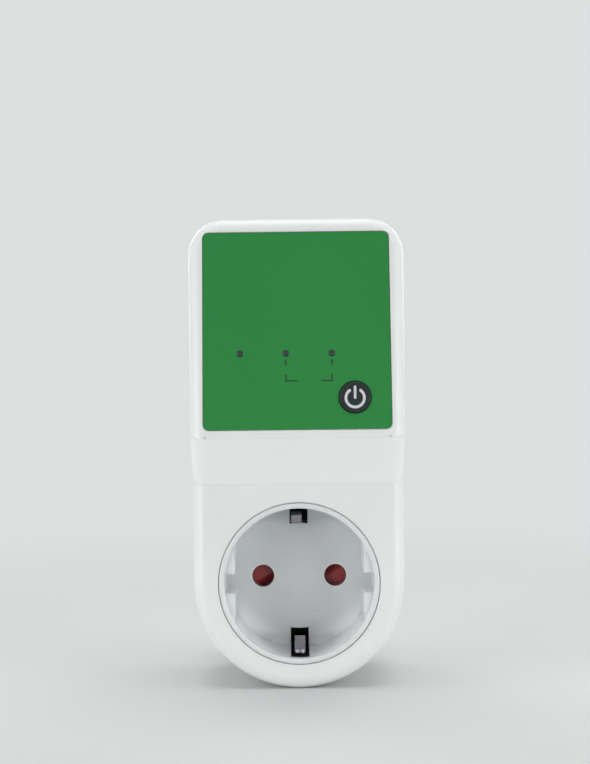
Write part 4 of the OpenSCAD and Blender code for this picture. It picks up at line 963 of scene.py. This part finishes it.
def stroke_patch(path, width, round_ends=True):
    """Points and faces of a flat stroke along a path of (x, z) points, in metres."""
    points, faces = [], []
    count = len(path)
    for index, here in enumerate(path):
        before = path[max(index - 1, 0)]
        after = path[min(index + 1, count - 1)]
        came = (here - before).normalized() if index else (after - here).normalized()
        goes = (after - here).normalized() if index < count - 1 else came
        bisector = (came + goes).normalized()
        across = Vector((-bisector.y, bisector.x))
        spread = width / 2 / max(bisector.dot(came), 0.3)
        points += [here + across * spread, here, here - across * spread]
        if index:
            low = 3 * index
            for side in (0, 1):
                faces.append((low - 3 + side, low - 2 + side, low + 1 + side, low + side))
    if round_ends:
        for index, sign in ((0, -1), (count - 1, 1)):
            centre = path[index]
            other = path[1] if index == 0 else path[-2]
            ahead = (centre - other).normalized()
            left = Vector((-ahead.y, ahead.x))
            arc = []
            for step in range(END_STEPS + 1):
                angle = math.pi * step / END_STEPS
                arc.append(centre + (left * math.cos(angle) + ahead * math.sin(angle)) * width / 2)
            first = len(points)
            points += arc[1:-1]
            ends = [3 * index, 3 * index + 2]
            if sign < 0:
                ends.reverse()
            ring = [ends[0], *range(first, first + END_STEPS - 1), ends[1]]
            for a, b in zip(ring, ring[1:]):
                faces.append((3 * index + 1, b, a))
    return points, faces


def ink_mesh(name, patches, surface):
    """Closed thin solids from flat patches, lying on a surface y = surface(x, z)."""
    shape = bmesh.new()
    for points, faces in patches:
        top = [shape.verts.new((p.x, surface(p.x, p.y) - INK_RISE, p.y)) for p in points]
        low = [shape.verts.new((p.x, surface(p.x, p.y) + INK_SINK, p.y)) for p in points]
        used = {}
        for face in faces:
            shape.faces.new([top[i] for i in face])
            shape.faces.new([low[i] for i in reversed(face)])
            for a, b in zip(face, face[1:] + face[:1]):
                used[(a, b)] = used.get((a, b), 0) + 1
        for a, b in used:
            if (b, a) not in used:
                shape.faces.new((top[b], top[a], low[a], low[b]))
    return solid_mesh(name, shape)


def ink(name, colour, gloss=0.45):
    """Screen ink: even, slightly rough, with pinholes too small to see singly."""
    finish = Finish(name)
    pin = finish.noise(0.00012, detail=2)
    base = finish.mix(pin, shade(colour, 0.92), shade(colour, 1.08))
    return finish.skin(base, gloss + (pin - 0.5) * 0.2, finish.relief(pin, 0.000004))


print("ink stands", round(INK_RISE / MM, 2), "mm proud")

# %% [markdown]
# ## The power symbol
#
# The general symbol for power is a ring with a gap at the top and a bar in the gap. The button's
# face has a shallow dish in the middle, so both strokes have many short steps and follow it.

# %% Power symbol
BUTTON_X, BUTTON_Z, BUTTON_FACE = 0.0143, 0.0471, -0.0649
DISH_R, DISH_DEPTH = 0.014, 0.00012


def button_face(x, z):
    """How far back the button's face lies."""
    away = math.hypot(x - BUTTON_X, z - BUTTON_Z)
    dish = DISH_DEPTH - (DISH_R - math.sqrt(DISH_R**2 - min(away, DISH_R) ** 2))
    return BUTTON_FACE + max(dish, 0.0)


RING_R, RING_STROKE, RING_GAP, RING_STEPS = 2.28 * MM, 0.68 * MM, math.radians(36), 60
BAR_TOP, BAR_LENGTH, BAR_STROKE, BAR_STEPS = 2.72 * MM, 2.66 * MM, 0.64 * MM, 12
SYMBOL_Z = BUTTON_Z - 0.16 * MM
ring_path = []
for step in range(RING_STEPS + 1):
    angle = math.pi / 2 + RING_GAP + (2 * math.pi - 2 * RING_GAP) * step / RING_STEPS
    ring_path.append(Vector((BUTTON_X + RING_R * math.cos(angle), SYMBOL_Z + RING_R * math.sin(angle))))
bar_path = []
for step in range(BAR_STEPS + 1):
    bar_path.append(Vector((BUTTON_X, SYMBOL_Z + BAR_TOP - BAR_LENGTH * step / BAR_STEPS)))
symbol_mesh = ink_mesh(
    "power_symbol",
    [stroke_patch(ring_path, RING_STROKE), stroke_patch(bar_path, BAR_STROKE)],
    button_face,
)
symbol_ink = ink("symbol_light_ink", tone(206, 205, 210))
power_symbol = add_piece("power_symbol", symbol_mesh, symbol_ink, "button")
print("symbol box:", [round(v * 1000, 2) for v in power_symbol.bound_box[0]])

# %% [markdown]
# ## Guide lines on the panel
#
# Thin dark lines join the second and third window into one group. They are strokes of ink again,
# with mitred corners and square ends, on a flat face.

# %% Guide lines
PANEL_FACE = -0.06435
LINE_W = 0.34 * MM


def panel_face(_x, _z):
    """The panel is flat, so its face is as far forward everywhere."""
    return PANEL_FACE


def corner_path(*corners):
    """A path in metres from its corners in mm."""
    return [Vector((x * MM, z * MM)) for x, z in corners]


guide_paths = [
    corner_path((-2.75, 56.6), (-2.75, 55.2)),
    corner_path((8.65, 56.6), (8.65, 55.2)),
    corner_path((-2.75, 52.9), (-2.75, 51.3), (0.2, 51.3)),
    corner_path((6.0, 51.3), (8.65, 51.3), (8.65, 52.9)),
]
guide_patches = [stroke_patch(path, LINE_W, round_ends=False) for path in guide_paths]
guide_mesh = ink_mesh("panel_guide_lines", guide_patches, panel_face)
guide_ink = ink("panel_dark_ink", tone(6, 20, 14), gloss=0.6)
add_piece("panel_guide_lines", guide_mesh, guide_ink, "housing")

# %% [markdown]
# ## Geometry Nodes for what repeats or follows a path
#
# Window lenses repeat, and wires, springs and windings follow paths. Each tree below has named
# inputs for its sizes. Its result is turned into a plain mesh, because the export doesn't run
# modifiers of this kind.

# %% Tree helpers
SOCKETS = {float: "NodeSocketFloat", int: "NodeSocketInt", "material": "NodeSocketMaterial"}


def new_tree(name, inputs):
    """A node tree with a geometry in and out, and named inputs."""
    tree = bpy.data.node_groups.new(name, "GeometryNodeTree")
    tree.interface.new_socket("Geometry", in_out="INPUT", socket_type="NodeSocketGeometry")
    for label, kind in inputs.items():
        tree.interface.new_socket(label, in_out="INPUT", socket_type=SOCKETS[kind])
    tree.interface.new_socket("Geometry", in_out="OUTPUT", socket_type="NodeSocketGeometry")
    return tree, tree.nodes.new("NodeGroupInput"), tree.nodes.new("NodeGroupOutput")


def tree_node(tree, kind, sockets):
    """Any node of a geometry tree, with values or links for its sockets."""
    made = tree.nodes.new(kind)
    for key, value in sockets.items():
        if isinstance(value, bpy.types.NodeSocket):
            tree.links.new(value, made.inputs[key])
        else:
            made.inputs[key].default_value = value
    return made


def end_tree(tree, group_in, group_out, geometry):
    """Smooth shading, real geometry and the finish close every tree."""
    smooth = tree_node(tree, "GeometryNodeSetShadeSmooth", {"Geometry": geometry})
    real = tree_node(tree, "GeometryNodeRealizeInstances", {"Geometry": smooth.outputs[0]})
    painted = {"Geometry": real.outputs[0], "Material": group_in.outputs["Finish"]}
    paint = tree_node(tree, "GeometryNodeSetMaterial", painted)
    tree.links.new(paint.outputs[0], group_out.inputs[0])


def grow(name, host_mesh, tree, values):
    """The tree's result on a host mesh, as a plain mesh with its faces outwards."""
    host = bpy.data.objects.new(name + "_host", host_mesh)
    modifier = host.modifiers.new("tree", "NODES")
    modifier.node_group = tree
    for item in tree.interface.items_tree:
        if item.in_out == "INPUT" and item.name in values:
            modifier[item.identifier] = values[item.name]
    scene.collection.objects.link(host)
    settled = host.evaluated_get(bpy.context.evaluated_depsgraph_get())
    grown = bpy.data.meshes.new_from_object(settled)
    bpy.data.objects.remove(host)
    shape = bmesh.new()
    shape.from_mesh(grown)
    bpy.data.meshes.remove(grown)
    bmesh.ops.remove_doubles(shape, verts=shape.verts, dist=1e-7)
    return solid_mesh(name, shape)


def points_mesh(name, points, joined=False):
    """Bare points, or points joined into one line, for a tree to work on."""
    mesh = bpy.data.meshes.new(name)
    edges = [(i, i + 1) for i in range(len(points) - 1)] if joined else []
    mesh.from_pydata([tuple(p) for p in points], edges, [])
    return mesh


print("tree inputs can be:", list(SOCKETS.values()))

# %% [markdown]
# ## Window lenses
#
# Each indicator window bulges a tenth of a millimetre or so, enough to catch a small highlight. One
# flattened ball is placed on three points, half of it sunk in the light pipe behind. A change to
# the ball then changes all three.

# %% Three lenses
LENS_R, LENS_RISE = 0.76 * MM, 0.14 * MM
lens_tree, lens_in, lens_out = new_tree(
    "window_lens_tree", {"Lens radius": float, "Lens rise": float, "Finish": "material"}
)
ball = tree_node(lens_tree, "GeometryNodeMeshUVSphere", {"Segments": 32, "Rings": 16, "Radius": 1.0})
wide, proud = lens_in.outputs["Lens radius"], lens_in.outputs["Lens rise"]
squash = tree_node(lens_tree, "ShaderNodeCombineXYZ", {0: wide, 1: proud, 2: wide})
placed = tree_node(
    lens_tree,
    "GeometryNodeInstanceOnPoints",
    {"Points": lens_in.outputs[0], "Instance": ball.outputs[0], "Scale": squash.outputs[0]},
)
end_tree(lens_tree, lens_in, lens_out, placed.outputs[0])
lens_points = [(INDICATOR_X + k * INDICATOR_PITCH, PANEL_FACE, INDICATOR_Z) for k in (-1, 0, 1)]
lens_mesh = grow(
    "window_lenses",
    points_mesh("lens_points", lens_points),
    lens_tree,
    {"Lens radius": LENS_R, "Lens rise": LENS_RISE, "Finish": finishes["window_smoke"]},
)
add_piece("window_lenses", lens_mesh, finishes["window_smoke"], "housing")
print("lenses:", len(lens_points), "of", round(2 * LENS_R / MM, 2), "mm")

# %% [markdown]
# ## Leads and springs
#
# A lead's route is a few points that a fitter would pass it through. It could be drawn by hand as
# a curve object, but from points it stays the CAD model's own route. A smooth line through them is
# swept with a circle. The CAD model has the same leads with flat sides, so these pieces replace
# them. Each insulation stops short of the joint and shows bare copper strands.

# %% Wire tree
def end_wire(tree, group_in, group_out, curve, sides):
    """A circle swept along a curve, with closed ends, closes every tree that makes wire."""
    section = tree_node(
        tree,
        "GeometryNodeCurvePrimitiveCircle",
        {"Resolution": sides, "Radius": group_in.outputs["Wire radius"]},
    )
    swept = tree_node(
        tree,
        "GeometryNodeCurveToMesh",
        {"Curve": curve, "Profile Curve": section.outputs[0], "Fill Caps": True},
    )
    end_tree(tree, group_in, group_out, swept.outputs[0])


wire_tree, wire_in, wire_out = new_tree(
    "wire_on_path_tree", {"Wire radius": float, "Sides": int, "Finish": "material"}
)
line = tree_node(wire_tree, "GeometryNodeMeshToCurve", {0: wire_in.outputs[0]})
end_wire(wire_tree, wire_in, wire_out, line.outputs[0], wire_in.outputs["Sides"])
print("wire tree nodes:", len(wire_tree.nodes))


# %% Lead routes
def in_place(point):
    """A route point in mm, given as in the CAD source, where z runs towards the front."""
    return Vector((point[0], -point[2], point[1])) * MM


def smooth_route(points, steps):
    """A Catmull-Rom line through the points."""
    spots = [Vector(p) for p in points]
    line_points = []
    for i in range(len(spots) - 1):
        a, b = spots[max(i - 1, 0)], spots[i]
        c, d = spots[i + 1], spots[min(i + 2, len(spots) - 1)]
        for k in range(steps):
            t = k / steps
            spot = 2 * b + (c - a) * t
            spot += (2 * a - 5 * b + 4 * c - d) * t**2
            spot += (3 * b - a - 3 * c + d) * t**3
            line_points.append(0.5 * spot)
    line_points.append(spots[-1])
    return line_points


ROUTE_STEPS, BARE_STEPS, STRAND_SHARE = 8, 5, 0.62
SLEEVE_SIDES, STRAND_SIDES = 20, 14
LEADS = {
    "lead_line_in": (1.4, "lead_brown", [
        (9.5, 0, 13), (9.5, 1.5, 15), (8.6, 6, 17.5), (6.6, 10, 21.2), (4.4, 15, 23.7),
        (2, 22, 26.2), (0, 30, 30.7), (-2, 42, 39.7), (-2, 44.5, 46.2), (-2, 44.5, 52),
    ]),
    "lead_line_out": (1.4, "lead_brown", [
        (5.5, 44.5, 52), (5.5, 44.5, 46.2), (8, 41, 37.7), (12.5, 31, 29.7), (16, 21, 25.2),
        (17.4, 12, 23.7), (17.4, 4, 23.3), (16.6, -2, 22.5), (14.4, -6.9, 21.4), (12, -6.9, 21.4),
    ]),
    "lead_neutral": (0.9, "lead_blue", [
        (-9.5, 0, 13), (-9.5, 1.5, 15), (-8.8, 6, 17.5), (-8, 10, 21.2), (-7, 15, 23.7),
        (-6.6, 22, 26.2), (-7, 30, 32.7), (-5, 38, 43.2), (-5, 39.5, 48.2), (-5, 39.5, 52),
    ]),
}

for lead_name, (radius, slot_name, route) in LEADS.items():
    route_points = [in_place(p) for p in smooth_route(route, ROUTE_STEPS)]
    length = sum((b - a).length for a, b in zip(route_points, route_points[1:]))
    sleeve_mesh = grow(
        lead_name + "_sleeve",
        points_mesh(lead_name + "_path", route_points[BARE_STEPS:-BARE_STEPS], joined=True),
        wire_tree,
        {"Wire radius": radius * MM, "Sides": SLEEVE_SIDES, "Finish": finishes[slot_name]},
    )
    sleeve = add_piece(lead_name + "_sleeve", sleeve_mesh, finishes[slot_name], "housing")
    strand_mesh = grow(
        lead_name + "_strands",
        points_mesh(lead_name + "_core", route_points, joined=True),
        wire_tree,
        {"Wire radius": radius * STRAND_SHARE * MM, "Sides": STRAND_SIDES, "Finish": strand_copper},
    )
    add_piece(lead_name + "_strands", strand_mesh, strand_copper, "housing")
    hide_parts(lead_name)
    print(f"{lead_name}: {length * 1000:.0f} mm long")

# %% [markdown]
# ## A dark sheet behind the earth strap, as painted shade
#
# A dark sheet stands behind the earth strap, as painted shade for the dark inside of the housing.
# It lies on the rear rim of the socket's insert and closes the line of sight through the slots, so
# they read dark. Its outline is a rounded rectangle with a hole for the spacer, and two loops of
# points, outer and inner, joined by quads, make such a sheet without cutting. It is dark and dull,
# with short flecks along one direction.

# %% Rounded loops and sheets
def rounded_outline(half_x, half_z, corner, count):
    """Points round a rounded rectangle, evenly turned about its middle."""
    points = []
    for step in range(count):
        angle = 2 * math.pi * (step + 0.5) / count
        ahead = Vector((math.cos(angle), math.sin(angle)))
        reach = min(half_x / max(abs(ahead.x), 1e-9), half_z / max(abs(ahead.y), 1e-9))
        point = ahead * reach
        flat_x, flat_z = half_x - corner, half_z - corner
        if abs(point.x) > flat_x and abs(point.y) > flat_z:
            middle = Vector((math.copysign(flat_x, point.x), math.copysign(flat_z, point.y)))
            point = middle + (point - middle).normalized() * corner
        points.append(point)
    return points


def ring_solid(name, outer, inner, front, back):
    """A closed solid between two loops of (x, z) points, from the front y to the back y."""
    shape = bmesh.new()
    loops = []
    for loop, y in ((outer, front), (outer, back), (inner, back), (inner, front)):
        loops.append([shape.verts.new((point.x, y, point.y)) for point in loop])
    for one, two in zip(loops, loops[1:] + loops[:1]):
        for k in range(len(one)):
            after = (k + 1) % len(one)
            shape.faces.new((one[k], one[after], two[after], two[k]))
    return solid_mesh(name, shape)


print("loop helpers ready")

# %% Painted-shade sheet
SHADE_SHEET_HALF_X, SHADE_SHEET_HALF_Z, SHADE_SHEET_CORNER = 3.3 * MM, 18.9 * MM, 0.8 * MM
SHADE_SHEET_HOLE, SHADE_SHEET_FRONT, SHADE_SHEET_BACK = 3.25 * MM, -29.03 * MM, -28.78 * MM
SHADE_SHEET_POINTS = 240


def shade_sheet_finish():
    finish = Finish("vulcanised_fibre")
    fleck = finish.noise(0.00030, detail=3, stretch=(1, 1, 5))
    cloud = finish.noise(0.004, detail=2)
    base = finish.mix(fleck, tone(34, 31, 31), tone(58, 54, 53))
    base = finish.mix(cloud * 0.3, base, tone(40, 34, 34))
    return finish.skin(base, 0.72 + (fleck - 0.5) * 0.2, finish.relief(fleck, 0.00002))


outer_loop = rounded_outline(SHADE_SHEET_HALF_X, SHADE_SHEET_HALF_Z, SHADE_SHEET_CORNER, SHADE_SHEET_POINTS)
inner_loop = [SHADE_SHEET_HOLE * point.normalized() for point in outer_loop]
# painted shade: a dark sheet behind the slots, so they read dark
shade_sheet_mesh = ring_solid("earth_strap_insulator", outer_loop, inner_loop, SHADE_SHEET_FRONT, SHADE_SHEET_BACK)
add_piece("earth_strap_insulator", shade_sheet_mesh, shade_sheet_finish(), "housing")

# %% [markdown]
# ## The shutter's spring
#
# Two turns of thin wire sit round the shutter's boss, with a straight leg at each end. A spiral node
# can't add the legs, so the points of the helix are worked out here, in the CAD source's own
# millimetres, and the leads' wire tree sweeps them.

# %% Shutter spring
SPRING_R, SPRING_WIRE, SPRING_TURNS, SPRING_PITCH, SPRING_LEG = 3.45, 0.18, 2, 0.45, 4.2
SPRING_LOW, SPRING_STEPS, SPRING_SIDES = 32.28, 48, 12
coil_points = []
for step in range(SPRING_STEPS * SPRING_TURNS + 1):
    angle = 2 * math.pi * step / SPRING_STEPS
    rise = SPRING_LOW + SPRING_PITCH * step / SPRING_STEPS
    coil_points.append((SPRING_R * math.cos(angle), SPRING_R * math.sin(angle), rise))
first, last = coil_points[0], coil_points[-1]
coil_points.insert(0, (first[0], first[1] - SPRING_LEG, first[2]))
coil_points.append((last[0], last[1] + SPRING_LEG, last[2]))
spring_mesh = grow(
    "shutter_return_spring",
    points_mesh("spring_path", [in_place(p) for p in coil_points], joined=True),
    wire_tree,
    {"Wire radius": SPRING_WIRE * MM, "Sides": SPRING_SIDES, "Finish": finishes["spring_steel"]},
)
shutter_return_spring = add_piece(
    "shutter_return_spring", spring_mesh, finishes["spring_steel"], "housing"
)
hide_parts("shutter_spring")

# %% [markdown]
# ## The relay's winding
#
# A relay coil has some thousands of turns of hair-thin wire. Only the outer layer shows, so that
# layer is real turns on a helix, made by a spiral node, and the layers below it are one tube.

# %% Winding
winding_low, winding_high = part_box("relay_winding")
WINDING_MIDDLE = ((winding_low.x + winding_high.x) / 2, (winding_low.z + winding_high.z) / 2)
WINDING_R = (winding_high.x - winding_low.x) / 2
WINDING_LENGTH = winding_high.y - winding_low.y
WINDING_BORE = 3.5 * MM
WINDING_WIRE, WINDING_SIDES, WINDING_STEPS = 0.14 * MM, 6, 40
WINDING_TURNS = WINDING_LENGTH / (2 * WINDING_WIRE) - 1
print(f"winding: {WINDING_TURNS:.0f} turns on show, {WINDING_LENGTH / MM:.2f} mm long")

# %% Outer layer of turns
coil_tree, coil_in, coil_out = new_tree(
    "coil_layer_tree",
    {"Turns": float, "Coil radius": float, "Coil length": float, "Wire radius": float, "Finish": "material"},
)
spiral = tree_node(
    coil_tree,
    "GeometryNodeCurveSpiral",
    {
        "Resolution": WINDING_STEPS,
        "Rotations": coil_in.outputs["Turns"],
        "Start Radius": coil_in.outputs["Coil radius"],
        "End Radius": coil_in.outputs["Coil radius"],
        "Height": coil_in.outputs["Coil length"],
    },
)
end_wire(coil_tree, coil_in, coil_out, spiral.outputs[0], WINDING_SIDES)
layer_mesh = grow(
    "winding_layer",
    points_mesh("coil_start", [(0, 0, 0)]),
    coil_tree,
    {
        "Turns": WINDING_TURNS,
        "Coil radius": WINDING_R - WINDING_WIRE,
        "Coil length": WINDING_LENGTH - 2 * WINDING_WIRE,
        "Wire radius": WINDING_WIRE * 0.98,
        "Finish": finishes["winding_copper"],
    },
)
to_relay = Matrix.Translation((WINDING_MIDDLE[0], winding_high.y - WINDING_WIRE, WINDING_MIDDLE[1]))
layer_mesh.transform(to_relay @ Matrix.Rotation(math.radians(90), 4, "X"))
winding_turns = add_piece(
    "winding_turns", layer_mesh, finishes["winding_copper"], "housing"
)
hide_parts("relay_winding")

# %% Layers below
LAYERS_R, LAYERS_SIDES = WINDING_R - 1.2 * WINDING_WIRE, 64


def circle_points(radius, middle, count):
    """Points round a circle, as (x, z)."""
    turns = [2 * math.pi * k / count for k in range(count)]
    return [Vector((middle[0] + radius * math.cos(a), middle[1] + radius * math.sin(a))) for a in turns]


inner_mesh = ring_solid(
    "winding_inner_layers",
    circle_points(LAYERS_R, WINDING_MIDDLE, LAYERS_SIDES),
    circle_points(WINDING_BORE, WINDING_MIDDLE, LAYERS_SIDES),
    winding_low.y,
    winding_high.y,
)
add_piece("winding_inner_layers", inner_mesh, finishes["winding_copper"], "housing")

# %% [markdown]
# ## Measure and finish
#
# The CAD model's box is printed, in millimetres.

# %% Sizes
bpy.context.view_layer.update()
print("cad box:", [[round(v * 1000, 2) for v in corner] for corner in CAD_BOX])
